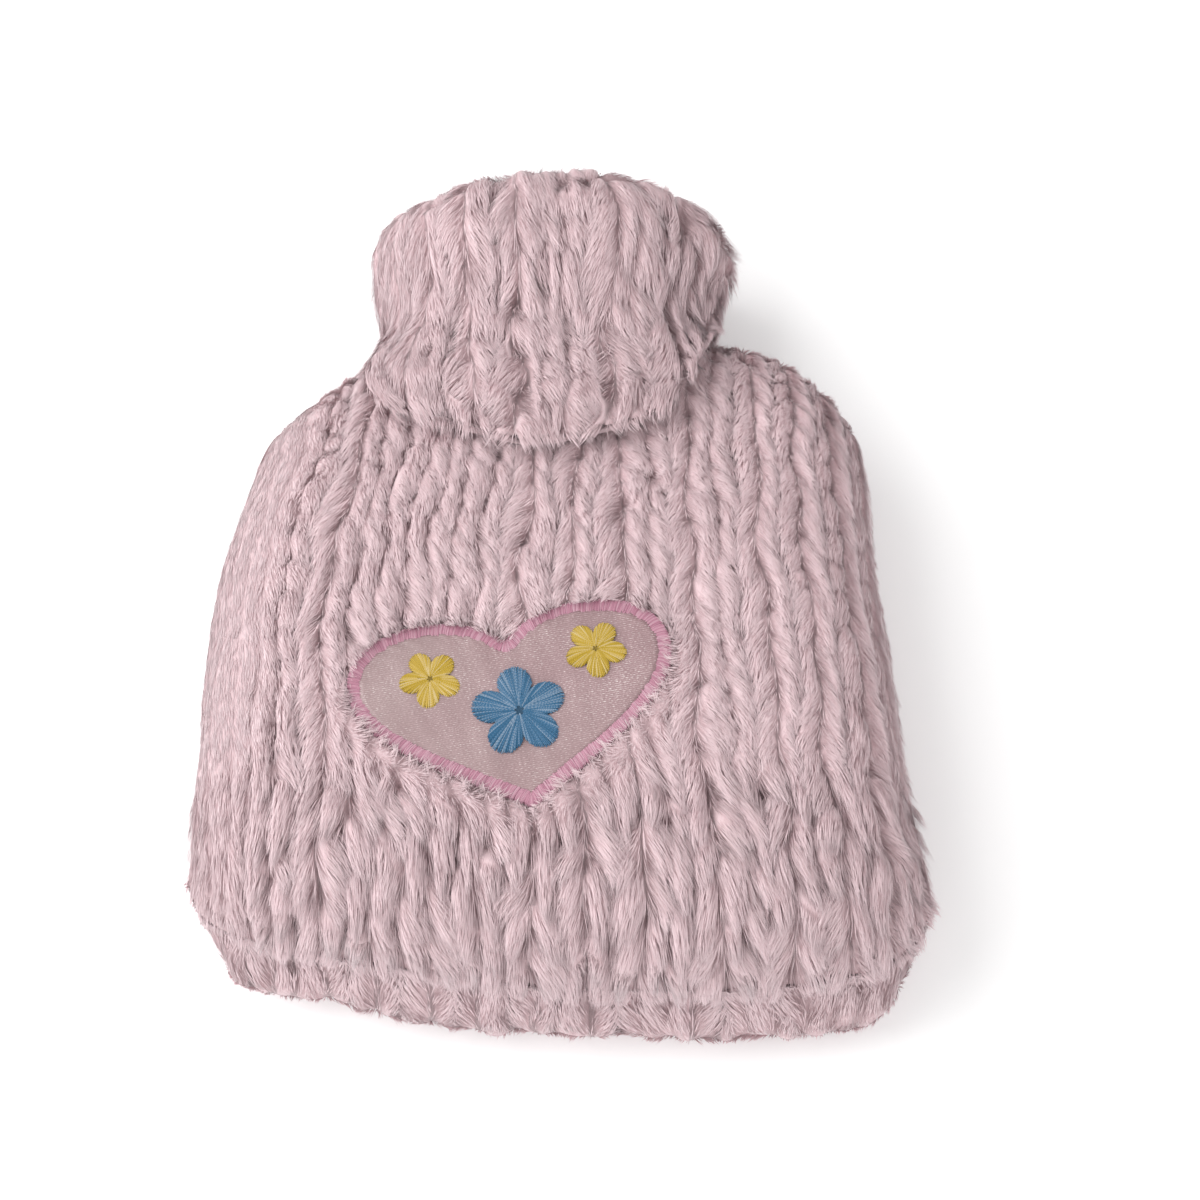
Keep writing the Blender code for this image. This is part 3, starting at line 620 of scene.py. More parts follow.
class GrowthGraph(Graph):
    """A geometry tree that turns roots into strands: hairs on a pelt, or threads along stitches."""

    def __init__(self, name: str) -> None:
        """Start the tree with a mesh coming in.

        Args:
            name: the tree's name.
        """
        super().__init__(bpy.data.node_groups.new(name, "GeometryNodeTree"))
        self.tree.interface.new_socket("Geometry", in_out="OUTPUT", socket_type="NodeSocketGeometry")
        self.given = self.tree.nodes.new("NodeGroupInput")
        self.identifiers: dict[str, str] = {}
        self.mesh = self.input("Mesh", "Geometry")

    def input(self, name: str, kind: str) -> Socket:
        """Add an input to the tree.

        Args:
            name: its name.
            kind: what it carries.

        Returns:
            The socket that it comes in by.
        """
        item = self.tree.interface.new_socket(name, in_out="INPUT", socket_type="NodeSocket" + kind)
        self.identifiers[name] = item.identifier
        return self.given.outputs[name]

    def named(self, name: str, kind: str = "FLOAT_VECTOR") -> Socket:
        """Read an attribute."""
        return self.add("GeometryNodeInputNamedAttribute", {"Name": name}, data_type=kind).outputs["Attribute"]

    def number(self, name: str) -> Socket:
        """Read an attribute that is one number for each point."""
        return self.named(name, "FLOAT")

    def store(self, points: Socket, kind: str = "FLOAT_VECTOR", **values: Value) -> Socket:
        """Keep values as attributes of each point.

        Args:
            points: the points.
            kind: what kind of values they are.
            values: each attribute's value, by its name.

        Returns:
            The points that carry them.
        """
        for name, value in values.items():
            node = self.add("GeometryNodeStoreNamedAttribute", data_type=kind, domain="POINT")
            for key, given in (("Geometry", points), ("Name", name), ("Value", value)):
                self.feed(live(node.inputs, key), given)
            points = node.outputs[0]
        return points

    def chance(self, seed: int) -> list[Socket]:
        """Three random numbers from 0 to 1 for each point."""
        node = self.add("FunctionNodeRandomValue", {"Seed": seed}, data_type="FLOAT_VECTOR")
        return self.parts(live(node.outputs, "Value"))

    def grow(self, points: Socket) -> None:
        """Put the strand's own mesh on each root and bend it along the root's vectors.

        Args:
            points: roots with the attributes root, reach, lift, side and puff.
        """
        strand = self.add("GeometryNodeObjectInfo", {"Object": self.input("Strand", "Object")})
        placed = self.add("GeometryNodeInstanceOnPoints",
                          {"Points": points, "Instance": strand.outputs["Geometry"]})
        real = self.add("GeometryNodeRealizeInstances", {"Geometry": placed.outputs[0]})
        place = self.named("root")
        for name in ("reach", "lift", "side", "puff"):
            place = self.vector("ADD", place, self.scaled(self.named(name), self.number("of_" + name)))
        moved = self.add("GeometryNodeSetPosition", {"Geometry": real.outputs[0], "Position": place})
        coloured = self.add("GeometryNodeSetMaterial",
                            {"Geometry": moved.outputs[0], "Material": self.input("Material", "Material")})
        self.feed(self.tree.nodes.new("NodeGroupOutput").inputs[0], coloured.outputs[0])

    def run(self, name: str, roots: Mesh, **values: object) -> Mesh:
        """Run the tree on a mesh.

        Args:
            name: name of the mesh to make.
            roots: the mesh that comes in.
            values: what each named input is given.

        Returns:
            The mesh that comes out, plain.
        """
        holder = link(name, roots)
        modifier = holder.modifiers.new("growth", "NODES")
        modifier.node_group = self.tree
        for key, value in values.items():
            modifier[self.identifiers[key.replace("_", " ").capitalize()]] = value
        depsgraph = bpy.context.evaluated_depsgraph_get()
        mesh = bpy.data.meshes.new_from_object(holder.evaluated_get(depsgraph), preserve_all_data_layers=True,
                                               depsgraph=depsgraph)
        mesh.name = name
        mesh.materials.clear()
        mesh.materials.append(values["material"])
        holder.modifiers.remove(modifier)
        bpy.data.objects.remove(holder)
        return mesh


# ---- finishes -----------------------------------------------------------------------------------

class ShaderGraph(Graph):
    """A material's node tree round one Principled shader."""

    def __init__(self, name: str, **constants: Value) -> None:
        """Start a material.

        Args:
            name: its name.
            constants: what the shader's own sockets are set to.
        """
        self.material = bpy.data.materials.new(name)
        self.material.use_nodes = True
        super().__init__(self.material.node_tree)
        self.shader = self.tree.nodes["Principled BSDF"]
        for key, value in constants.items():
            self.shader.inputs[key.replace("_", " ").title().replace("Ior", "IOR")].default_value = value

    def place(self) -> Socket:
        """Place on the piece, in metres."""
        return self.add("ShaderNodeTexCoord").outputs["Object"]

    def on_map(self, name: str) -> Socket:
        """Place on a UV map."""
        return self.add("ShaderNodeUVMap", uv_map=name).outputs[0]

    def ramp(self, share: Socket, *stops: tuple[float, Colour]) -> Socket:
        """A colour that runs through stops.

        Args:
            share: where to read it, from 0 to 1.
            stops: the colours and where they are.

        Returns:
            The colour.
        """
        node = self.add("ShaderNodeValToRGB", {0: share})
        elements = node.color_ramp.elements
        while len(elements) < len(stops):
            elements.new(0.5)
        for element, (place, colour) in zip(elements, stops):
            element.position, element.color = place, (*colour, 1.0)
        return node.outputs["Color"]

    def noise(self, vector: Socket, scale: float | Triple, detail: float = 2.0) -> Socket:
        """Noise from 0 to 1.

        Args:
            vector: where to read it.
            scale: how many of its features there are to a unit, alike or along each axis.
            detail: how many finer layers it has.

        Returns:
            The noise.
        """
        if isinstance(scale, tuple):
            vector, scale = self.vector("MULTIPLY", vector, scale), 1.0
        inputs = {"Vector": vector, "Scale": scale, "Detail": detail, "Roughness": 0.55}
        return self.add("ShaderNodeTexNoise", inputs).outputs[0]

    def blend(self, low: Value, high: Value, share: Value, mode: str = "MIX") -> Socket:
        """A mixed colour.

        Args:
            low: the first colour.
            high: the second one.
            share: how much of the second.
            mode: how they are mixed.

        Returns:
            The colour.
        """
        low, high = ((*colour, 1.0) if isinstance(colour, tuple) else colour for colour in (low, high))
        return self.add("ShaderNodeMix", {0: share, 6: low, 7: high}, data_type="RGBA", blend_type=mode).outputs[2]

    def bump(self, height: Socket, depth: float, strength: float = 1.0) -> None:
        """Raise the surface by a height from 0 to 1, depth metres at most."""
        node = self.add("ShaderNodeBump", {"Height": height, "Distance": depth, "Strength": strength})
        self.feed(self.shader.inputs["Normal"], node.outputs[0])

    def colour(self, colour: Socket) -> Material:
        """Set the base colour, and give the material."""
        self.feed(self.shader.inputs["Base Color"], colour)
        return self.material


@dataclass(frozen=True)
class PileFinish:
    """Dusty-pink pile, with painted shade darkening each hair towards its root, and pale, soft tips."""

    name: str = "plush_pile"
    # Painted shade: the root colour stands in for the shade deep in the pile.
    root: Colour = (0.480, 0.290, 0.307)
    middle: Colour = (0.772, 0.588, 0.612)
    tip: Colour = (0.835, 0.680, 0.704)
    shades: tuple[Colour, Colour, Colour] = ((0.46, 0.40, 0.41), (0.96, 0.96, 0.96), (1.03, 1.05, 1.045))
    sheen: float = 0.40
    streaks: Triple = (2600.0, 320.0, 1.0)

    def between(self, share: float) -> Colour:
        """A colour between the root's and the middle's."""
        return mix_colour(self.root, self.middle, share)

    def hairs(self) -> Material:
        """The hairs' material, which reads tone and place along the hair off their colour map.

        Returns:
            The material.
        """
        g = ShaderGraph(self.name, Roughness=0.62, Sheen_weight=self.sheen, Sheen_roughness=0.4,
                        Specular_ior_level=0.22)
        tone, along, _ = g.parts(g.on_map("OFBake"))
        # Painted shade: each hair runs from a dark root, shaded by the hairs over it, to its pale tip.
        colour = g.ramp(along, (0.0, self.between(0.35)), (0.42, self.middle), (1.0, self.tip))
        shade = g.ramp(tone, *zip((0.0, 0.5, 1.0), self.shades))
        return g.colour(g.blend(colour, shade, 1.0, "MULTIPLY"))

    def mass(self) -> Material:
        """The dense pile under the hairs, streaked along its lie, with painted shade darkening it in the grooves.

        Returns:
            The material.
        """
        g = ShaderGraph(self.name + "_mass", Roughness=0.85, Sheen_weight=self.sheen, Sheen_roughness=0.5,
                        Specular_ior_level=0.15)
        streaks = g.noise(g.on_map("lie"), self.streaks, 3.0)
        patches = g.noise(g.place(), 60.0, 3.0)
        plain = g.ramp(g.plus(g.times(streaks, 0.7), g.times(patches, 0.3)), (0.30, self.between(0.60)),
                       (0.55, self.between(0.95)), (0.75, mix_colour(self.middle, self.tip, 0.3)))
        # The form map carries the grooves for the painted shade, and the smooth zones.
        groove, even, _ = g.parts(g.on_map("form"))
        plain = g.blend(plain, self.between(0.75), g.times(even, 0.85))
        g.bump(streaks, 0.4 * MM, 0.8)
        # Painted shade: the mass turns to a blackened root colour in the grooves.
        return g.colour(g.blend(plain, mix_colour(self.root, BLACK, 0.45), g.times(groove, 0.56)))


@dataclass(frozen=True)
class BackingFinish:
    """The knitted wrong side of the plush, seen only through the neck."""

    colour: Colour = (0.50, 0.36, 0.37)
    loop: float = 1.1 * MM

    def material(self) -> Material:
        """Rows of small knitted loops.

        Returns:
            The material.
        """
        g = ShaderGraph("knit_backing", Roughness=0.9, Sheen_weight=0.2)
        x, y, z = g.parts(g.scaled(g.place(), math.tau / self.loop))
        loops = g.times(g.math("SINE", g.plus(x, z)), g.math("SINE", y))
        g.bump(g.plus(g.times(loops, 0.5), 0.5), 0.3 * MM)
        # Partly painted shade: the colour darkens where the loops dip, along with random noise.
        return g.colour(g.ramp(g.plus(g.times(loops, 0.25), g.noise(g.place(), 90.0)),
                               (0.2, mix_colour(self.colour, BLACK, 0.4)), (0.8, self.colour)))


@dataclass(frozen=True)
class SatinFinish:
    """Woven satin: fine rows of floats, some with painted highlights: a lighter lustre and pale glints."""

    colour: Colour = (0.318, 0.196, 0.207)
    # Painted highlights: the floats' lighter lustre and their pale glints.
    painted_lustre: Colour = (0.450, 0.305, 0.318)
    painted_glint: Colour = (0.880, 0.800, 0.770)
    # Painted reflection: a cool, pale shimmer towards the left.
    painted_shimmer: Colour = (0.375, 0.310, 0.290)
    row: float = 0.56 * MM
    floats: Triple = (1500.0, 5200.0, 1.0)

    def material(self) -> Material:
        """The patch's material, on its own map in metres, with a painted cool shimmer towards its left.

        Returns:
            The material.
        """
        g = ShaderGraph("patch_satin", Roughness=0.42, Sheen_weight=0.3, Sheen_roughness=0.3,
                        Specular_ior_level=0.6)
        weave = g.on_map("weave")
        x, y, _ = g.parts(weave)
        waver = g.noise(weave, (500.0, 900.0, 1.0))
        rows = g.math("SINE", g.plus(g.times(y, math.tau / self.row), g.times(waver, 4.0)))
        floats, soft = g.noise(weave, self.floats), g.noise(weave, (55.0, 80.0, 1.0))
        share = g.plus(g.plus(g.times(floats, 0.78), g.times(soft, 0.22)), g.times(rows, 0.075))
        # Painted highlights: the higher floats turn to a lighter lustre and then to pale glints.
        plain = g.ramp(share, (0.34, mix_colour(self.colour, BLACK, 0.18)), (0.50, self.colour),
                       (0.62, self.painted_lustre), (0.72, self.painted_glint))
        # Painted reflection: the shimmer grows towards the left, broken by noise.
        leftward = g.math("SUBTRACT", g.noise(weave, (38.0, 38.0, 1.0), 1.0), g.times(x, 9.0))
        g.bump(g.plus(g.times(rows, 0.35), floats), 0.07 * MM, 0.7)
        return g.colour(g.blend(plain, self.painted_shimmer, g.math("MULTIPLY", leftward, 0.38, clamp=True)))


@dataclass(frozen=True)
class ThreadFinish:
    """Lustrous embroidery thread."""

    name: str
    colour: Colour
    dark: float = 0.45

    def material(self) -> Material:
        """Material of stitches, which reads tone and place along the stitch off their map.

        Returns:
            The material.
        """
        g = ShaderGraph(self.name, Roughness=0.40, Sheen_weight=0.05, Specular_ior_level=0.45)
        tone, along, _ = g.parts(g.on_map("OFBake"))
        twist = g.math("SINE", g.plus(g.times(along, 70.0), g.times(tone, 40.0)))
        return g.colour(g.ramp(g.plus(tone, g.times(twist, 0.10)),
                               (0.05, mix_colour(self.colour, BLACK, self.dark)),
                               (0.55, self.colour), (1.0, mix_colour(self.colour, WHITE, 0.25))))

    def base(self) -> Material:
        """Material of the padding under the stitches, darkened as painted shade where it shows between them.

        Returns:
            The material.
        """
        g = ShaderGraph(self.name + "_padding", Roughness=0.6)
        # Painted shade: the padding is darker than the thread, where it shows in the gaps between stitches.
        dim = mix_colour(self.colour, BLACK, 0.45)
        g.bump(g.noise(g.place(), 2500.0), 0.1 * MM)
        return g.colour(g.ramp(g.noise(g.place(), 1500.0), (0.3, mix_colour(dim, BLACK, 0.4)), (0.7, dim)))


# ---- strands ------------------------------------------------------------------------------------

@dataclass(frozen=True)
class HairLot:
    """How hairs gather in tufts, and how much they differ from one another."""

    tuft_width: float = 1.3 * MM
    tuft_length: float = 5.0 * MM
    tufting: float = 0.75
    tufting_down: float = 0.5
    stray: float = 0.9
    reach: tuple[float, float] = (0.75, 0.45)
    rise: float = 0.45
    girth: tuple[float, float] = (0.65, 0.7)
    shade: tuple[float, float] = (0.16, 0.10)
    facing: float = 0.22
    roundness: float = 0.35

    def graph(self) -> GrowthGraph:
        """The tree that scatters hairs over a pelt and combs them in small pointed tufts.

        Returns:
            The tree, with inputs for the hairs' density, width, lift and tufts.
        """
        g = GrowthGraph("comb_pile")
        density, width, lift, tuft_width, tuft_length, tufting = (
            g.input(name, "Float") for name in ("Density", "Width", "Lift", "Tuft width", "Tuft length", "Tufting"))
        scattered = g.add("GeometryNodeDistributePointsOnFaces", {
            "Mesh": g.mesh, "Density": g.times(density, g.number("thick")), "Seed": g.input("Seed", "Int")})
        root = g.add("GeometryNodeInputPosition").outputs[0]
        up, flow, fluff = g.named("up"), g.named("flow"), g.number("fluff")
        one, two, three = g.chance(11)
        four, five, six = g.chance(12)
        combed = g.vector("SUBTRACT", g.named("tip"), root)
        down = g.vector("NORMALIZE", combed)
        across = g.vector("CROSS_PRODUCT", up, down)
        tuft = g.whole(tuft_width, tuft_length, 1.0)
        cell = g.vector("DIVIDE", flow, tuft)
        tufts = g.add("ShaderNodeTexVoronoi", {"Vector": cell, "Scale": 1.0}, voronoi_dimensions="2D")
        pull = g.vector("MULTIPLY", g.vector("SUBTRACT", tufts.outputs["Position"], cell), tuft)
        pull_across, pull_down, _ = g.parts(pull)
        stray = g.times(g.centred(four), g.times(tuft_width, self.stray))
        sideways = g.plus(g.times(pull_across, g.times(tufting, g.math("MINIMUM", fluff, 1.0))), stray)
        lengthways = g.times(pull_down, g.times(tufting, self.tufting_down))
        reach = g.scaled(combed, g.plus(g.times(one, self.reach[1]), self.reach[0]))
        for way, share in ((across, sideways), (down, lengthways)):
            reach = g.vector("ADD", reach, g.scaled(way, share))
        rise = g.times(g.times(lift, fluff), g.plus(self.rise, two))
        girth = g.times(width, g.plus(self.girth[0], g.times(three, self.girth[1])))
        side = g.scaled(g.vector("NORMALIZE", g.vector("CROSS_PRODUCT", reach, up)), girth)
        uneven = g.plus(g.times(g.centred(five), self.shade[0]),
                        g.times(g.centred(g.parts(tufts.outputs["Color"])[0]), self.shade[1]))
        strays = g.scaled(g.whole(*(g.centred(n) for n in (six, one, two))), g.times(fluff, self.facing))
        points = g.store(scattered.outputs["Points"], root=root, reach=reach, lift=g.scaled(up, rise), side=side,
                         puff=g.scaled(up, 0.0), facing=g.vector("ADD", g.named("face"), strays))
        g.grow(g.store(points, "FLOAT", shade=g.plus(g.times(uneven, fluff), g.number("tone"))))
        return g


def strand_object(name: str, shares: Sequence[tuple[float, ...]], faces: Sequence[tuple[int, ...]]) -> Piece:
    """The mesh that every strand of a kind is bent from.

    Args:
        name: its name.
        shares: for each point, its share of the reach, of the lift, of the width to the side and outward.
        faces: its faces.

    Returns:
        An object whose points carry those shares as attributes.
    """
    mesh = bpy.data.meshes.new(name)
    mesh.from_pydata([(share[0], share[2], share[3]) for share in shares], [], faces)
    reach, lift, side, puff = np.array(shares).T
    write_points(mesh, of_reach=reach, of_lift=lift, of_side=side, of_puff=puff)
    return link(name, mesh)


def finish_strands(mesh: Mesh, roundness: float) -> Mesh:
    """Give strands the colour map their finish reads and soft normals, and drop what they grew from.

    Args:
        mesh: the strands.
        roundness: how far a strand's edges face to its sides.

    Returns:
        The same mesh.
    """
    along = read_points(mesh, "of_reach")
    # Where the pile is smooth, hairs keep the tip's colour along their length, with less painted root shade.
    if "fluff" in mesh.attributes:
        along = 1.0 - (1.0 - along) * np.minimum(read_points(mesh, "fluff"), 1.0)
    sideways = unit(read_points(mesh, "side")) * read_points(mesh, "of_side")[:, None]
    facing = unit(read_points(mesh, "facing") + sideways * roundness)
    write_map(mesh, "OFBake", *(np.clip(value, 0.03, 0.97) for value in (read_points(mesh, "shade"), along)))
    for attribute in [a.name for a in mesh.attributes if a.name not in ("position", "OFBake")
                      and not a.is_internal and not a.is_required]:
        mesh.attributes.remove(mesh.attributes[attribute])
    mesh.shade_smooth()
    mesh.normals_split_custom_set_from_vertices(facing.tolist())
    return mesh


# ---- plush --------------------------------------------------------------------------------------

@dataclass(frozen=True)
class PileCut:
    """How long and how deep the pile is on one piece."""

    base: float = 0.6 * MM
    groove: float = 4.2 * MM
    lock_relief: float = 1.7 * MM
    lock_length: tuple[float, float] = (7.5 * MM, 11 * MM)
    slant: float = 0.9
    wander: float = 0.55
    roam: float = 0.32
    braids: float = 0.75
    swell: float = 2.0 * MM
    hair_length: float = 4.6 * MM
    hair_width: float = 0.095 * MM
    hair_rise: float = 0.9 * MM
    hairs_each_mm2: float = 5.2
    overhang: float = 4.0 * MM
    droop: float = 0.0
    lap: float = -2.4 * MM


@dataclass(frozen=True)
class PileTone:
    """How light the hairs are, from 0 to 1, and by how much each thing changes it, painted shade and painted light
    among them.
    """

    plain: float = 0.675
    lot: float = 0.20
    # Painted shade: lighter where a lock stands high, darker where it dips.
    bulge: float = 0.12
    # Darker loose tufts; on the collar's right this is also painted shade on the side turned from the light.
    loose: float = -0.08
    smooth: float = -0.415
    # Painted shade: hairs darker in the grooves between the ribs.
    groove: float = -0.29
    # Painted shade: darker at the start of each lock, where the last lock's tip lies over it.
    painted_shade_at_lock_start: float = -0.16
    # Painted light: paler hairs within 3 mm of the seams, against the shade in the seams' crease.
    near_edge: float = 0.20


class Zone(Enum):
    """What a place of a plush surface is, apart from plain ribs."""

    SMOOTH = "smooth"
    LOOSE = "loose"
    PRESSED = "pressed"
    RESTING = "resting"
    BANK = "banked up against the patch"
    FURROWED = "furrowed"
    PATCH = "how far inside the patch, in metres"


@dataclass
class Pelt:
    """A plush surface as the mass of its pile, with the lie of its hairs."""

    name: str
    surface: Array
    ribs: int
    wraps: bool
    cut: PileCut
    seed: int
    zones: dict[Zone, Array]
    lining: Array
    thick: Number = 1.0
    lip: int = 0
    tone: PileTone = PileTone()

    def __post_init__(self) -> None:
        """Read the zones, measure the surface, number its ribs and raise its pile."""
        self.rows, self.columns = self.surface.shape[:2]
        self.smooth, self.loose, self.pressed, self.resting, self.bank, self.furrowed = (
            self.zones.get(zone, np.zeros((self.rows, self.columns)))
            for zone in (Zone.SMOOTH, Zone.LOOSE, Zone.PRESSED, Zone.RESTING, Zone.BANK, Zone.FURROWED))
        self.patch = self.zones.get(Zone.PATCH)
        self.normals = unit(blurred(grid_normals(self.surface, self.wraps), self.wraps, 3))
        across, down = (np.linalg.norm(step, axis=2) for step in neighbour_steps(self.surface, self.wraps))
        self.along = np.concatenate((np.zeros((1, self.columns)), np.cumsum(down[:-1], axis=0)))
        self.across = np.concatenate((np.zeros((self.rows, 1)), np.cumsum(across[:, :-1], axis=1)), axis=1)
        self.beside = np.minimum(self.across, self.across[:, -1:] - self.across)
        to_seam = np.minimum(self.along[-1] - self.along, self.beside)
        self.near_edge = np.zeros_like(self.along) if self.wraps else 1.0 - ease(0.0, 3.0 * MM, to_seam)
        self.span = self.columns if self.wraps else self.columns - 1
        self.rib_width = np.maximum(across * self.span / self.ribs, 0.5 * MM)
        self.down_step, self.column_step = np.maximum(down, 0.02 * MM), np.maximum(across, 0.02 * MM)
        self.number_ribs()
        self.raise_pile()

    def number_ribs(self) -> None:
        """Find the rib that each place is on, and the share of its half width there, as the ribs roam."""
        place = np.broadcast_to(np.arange(self.columns) * self.ribs / self.span, (self.rows, self.columns))
        if self.wraps:
            turn = math.tau * place / self.ribs
            still, where = 0.0, 2.2 * np.sin(turn) + 0.45 * self.ribs * (1 + np.cos(turn))
        else:
            still, where = np.abs(2.0 * place / self.ribs - 1.0) ** 8, place * 0.7
        roam = soft_noise(self.along / (17 * MM), where, self.seed + 7) - 0.5
        place = place + self.cut.roam * 2.0 * roam * (1.0 - still)
        rib = np.floor(place + 1e-6).astype(int)
        w = 2.0 * (place - rib) - 1.0
        if not self.wraps:
            w = np.where(rib < 0, -1.0, np.where(rib >= self.ribs, 1.0, w))
        self.w = np.clip(w, -1.0, 1.0)
        self.rib = rib % self.ribs if self.wraps else np.clip(rib, 0, self.ribs - 1)

    def ropes(self) -> tuple[Array, Array, Array]:
        """Lean the ribs alike or in braided pairs.

        Returns:
            For each place its rib's lean, its locks' length and where they start.
        """
        rng = np.random.default_rng(self.seed)
        sign, pitch, phase = np.ones(self.ribs), np.empty(self.ribs), np.empty(self.ribs)
        for index in range(self.ribs):
            braided = index and rng.random() < self.cut.braids * mix(0.3, 1.0, ease(0.25, 0.6, index / self.ribs))
            pitch[index], phase[index] = rng.uniform(*self.cut.lock_length), rng.random() * 7.0
            if braided:
                sign[index] = -sign[index - 1]
            if braided and sign[index] < 0.0:
                pitch[index], phase[index] = pitch[index - 1], phase[index - 1]
        return sign[self.rib], pitch[self.rib], phase[self.rib]

    def raise_pile(self) -> None:
        """Shape the mass: ribs, locks in them, loose tufts, and flat places."""
        cut, loose, uneven = self.cut, self.loose, 1.0 - self.smooth
        sign, pitch, phase = self.ropes()

        # Where in its lock each place is: from 0 to 1 along it, and the lock's own lot.
        drift = soft_noise(self.along / (12 * MM), self.rib * 3.7, self.seed + 1)
        edge_wander = soft_noise(self.along / (6 * MM), self.rib * 5.1 + 2.0, self.seed + 2) - 0.5
        w = np.clip(self.w + edge_wander * cut.wander * (1.0 - self.w ** 2), -1.0, 1.0)
        slanted = self.along - sign * cut.slant * w * self.rib_width / 2
        q = slanted / (pitch * mix(1.0, 1.5, loose)) + phase + 1.1 * drift
        lock = np.floor(q).astype(int)
        g = q - lock
        hashed = np.abs(np.sin((lock * 12.9898 + self.rib * 78.233 + self.seed) * 43.7585)) * 997.0
        lot = hashed - np.floor(hashed)

        # The lock's section: a lens about its middle line, pointed where the pile is loose.
        slant_now = mix(0.75 + 0.5 * lot, 0.45 + (lot - 0.5) * 2.0, loose) * (1.0 - 0.55 * self.smooth)
        lens = np.sin(math.pi * g) ** 0.7
        taper = mix(0.86 + 0.14 * lens, 0.42 + 0.58 * lens, loose) * uneven + self.smooth
        from_middle = np.abs(w - 0.20 * sign * (2.0 * g - 1.0) * slant_now) / taper
        profile = (1.0 - np.clip(from_middle, 0.0, 1.0) ** 2.6) ** 0.5

        # How deep it all lies under the surface.
        depth_noise = soft_noise(self.along / (5 * MM), self.across / (4 * MM), self.seed + 3)
        groove = cut.groove * (1.0 - profile) * (0.40 + 0.95 * depth_noise) * (1.0 - 0.8 * self.smooth)
        groove *= 1.0 + 0.55 * self.furrowed
        bulge = np.sin(math.pi * g ** 1.35) ** 0.6
        flatter = np.maximum(0.85 * self.smooth, 0.5 * self.furrowed)
        relief = mix(1.0, 2.0, loose) * cut.lock_relief * (1.0 - bulge) * (1.0 - flatter)
        relief += (0.35 + 0.9 * loose) * MM * (lot - 0.3) * uneven
        swell = cut.swell * (soft_noise(self.across / (20 * MM), self.along / (18 * MM), self.seed + 4) - 0.5)
        depth = cut.base + groove + relief * (0.35 + 0.65 * profile) + swell
        depth = blurred(np.maximum(depth, 0.15 * MM), self.wraps) * (1.0 - 0.55 * self.bank)
        for low, share in ((0.25 * MM, 0.85 * self.near_edge), (1.3 * MM + 0.25 * groove, self.pressed),
                           (0.0, self.resting)):
            depth = mix(depth, low, share)
        self.mass = self.surface - self.normals * depth[..., None]
        self.mass[..., 2] = np.maximum(self.mass[..., 2], 0.0)
        self.g, self.w, self.sign, self.lot, self.slant_now, self.bulge = g, w, sign, lot, slant_now, bulge
        # Where the grooves are: for painted shade in the hairs and the mass, and for fewer hairs there.
        self.groove = ease(0.62, 1.0, from_middle)

    def combed(self) -> tuple[Array, Array]:
        """Where a hair rooted at each point of the grid ends, along its rope or in towards the patch.

        Returns:
            The row and the column of its end.
        """
        length = self.cut.hair_length * mix(1.0, 1.5, self.loose) * mix(1.0, 0.8, self.smooth)
        lean = 0.45 * self.sign * self.slant_now
        w_end = self.w + lean * length / (self.rib_width / 2)
        home = 0.70 * self.g * (1.0 - 0.5 * self.smooth)
        w_end = mix(w_end, self.sign * 0.5 * self.slant_now, home)
        limit = mix(1.1, 1.7, self.loose)
        shift = (np.clip(w_end, -limit, limit) - self.w) / 2 * self.span / self.ribs
        row, column = np.indices((self.rows, self.columns), dtype=float)
        end_row = row + length * np.cos(np.arctan(np.abs(lean))) / self.down_step
        if self.patch is None:
            return end_row, column + shift
        inward, onward = neighbour_steps(self.patch, self.wraps)
        steepness = np.maximum(np.hypot(inward / self.column_step, onward / self.down_step), 0.2)
        lean_in = (3.3 + 3.5 * self.lot) * MM * self.bank / steepness
        shift = mix(shift, lean_in * inward / self.column_step ** 2, 0.8 * self.bank)
        end_row = mix(end_row, row + lean_in * onward / self.down_step ** 2, 0.72 * self.bank)
        ahead = bilinear(self.patch, end_row, column + shift, self.wraps)
        past = ahead - mix(2.0, 1.5 + 2.3 * self.lot, self.bank) * MM
        too_far = np.clip(past / np.maximum(ahead - self.patch, 0.1 * MM), 0.0, 1.0)
        return mix(end_row, row, too_far), column + shift * (1.0 - too_far)

    def hair_tips(self) -> Array:
        """Points where hairs rooted at each point of the grid end.

        Returns:
            The points, raised off the mass, past its hem or over its seams.
        """
        cut = self.cut
        row, column = self.combed()
        tips = bilinear(self.mass, row, column, self.wraps)
        rise = cut.hair_rise * (0.35 + 0.4 * self.lot + 0.5 * ease(0.35, 0.9, self.g)) * (1.0 - 0.5 * self.smooth)
        rise = rise + 0.9 * MM * self.loose * ease(0.4, 1.0, self.g)
        if self.patch is not None:
            reached = bilinear(self.patch, row, column, self.wraps)
            rise = rise + mix(2.9, 2.3, self.bank) * MM * ease(-1.5 * MM, 0.2 * MM, reached)
        tips += self.normals * (rise * (1.0 - self.resting))[..., None]
        over = np.clip((row - (self.rows - 1)) * self.down_step, 0.0, cut.overhang)
        heading = unit(self.surface[-1 - self.lip] - self.surface[-5 - 2 * self.lip])
        tips += heading[None] * over[..., None]
        tips[..., 2] -= cut.droop * (over / cut.overhang) ** 2
        if not self.wraps:
            at_seam = 1.0 - ease(0.0, 2.5 * MM, self.beside)
            tips[..., 0] += 0.7 * MM * at_seam * np.sign(self.surface[..., 0])
            tips[..., 2] += cut.lap * at_seam
        tips[..., 2] = np.maximum(tips[..., 2], 0.25 * MM)
        return tips

    def outer_faces(self) -> Array:
        """Quads of the outer surface, facing out."""
        return ring_faces(np.arange(self.mass[..., 0].size).reshape(self.rows, -1), self.wraps)[:, [0, 3, 2, 1]]

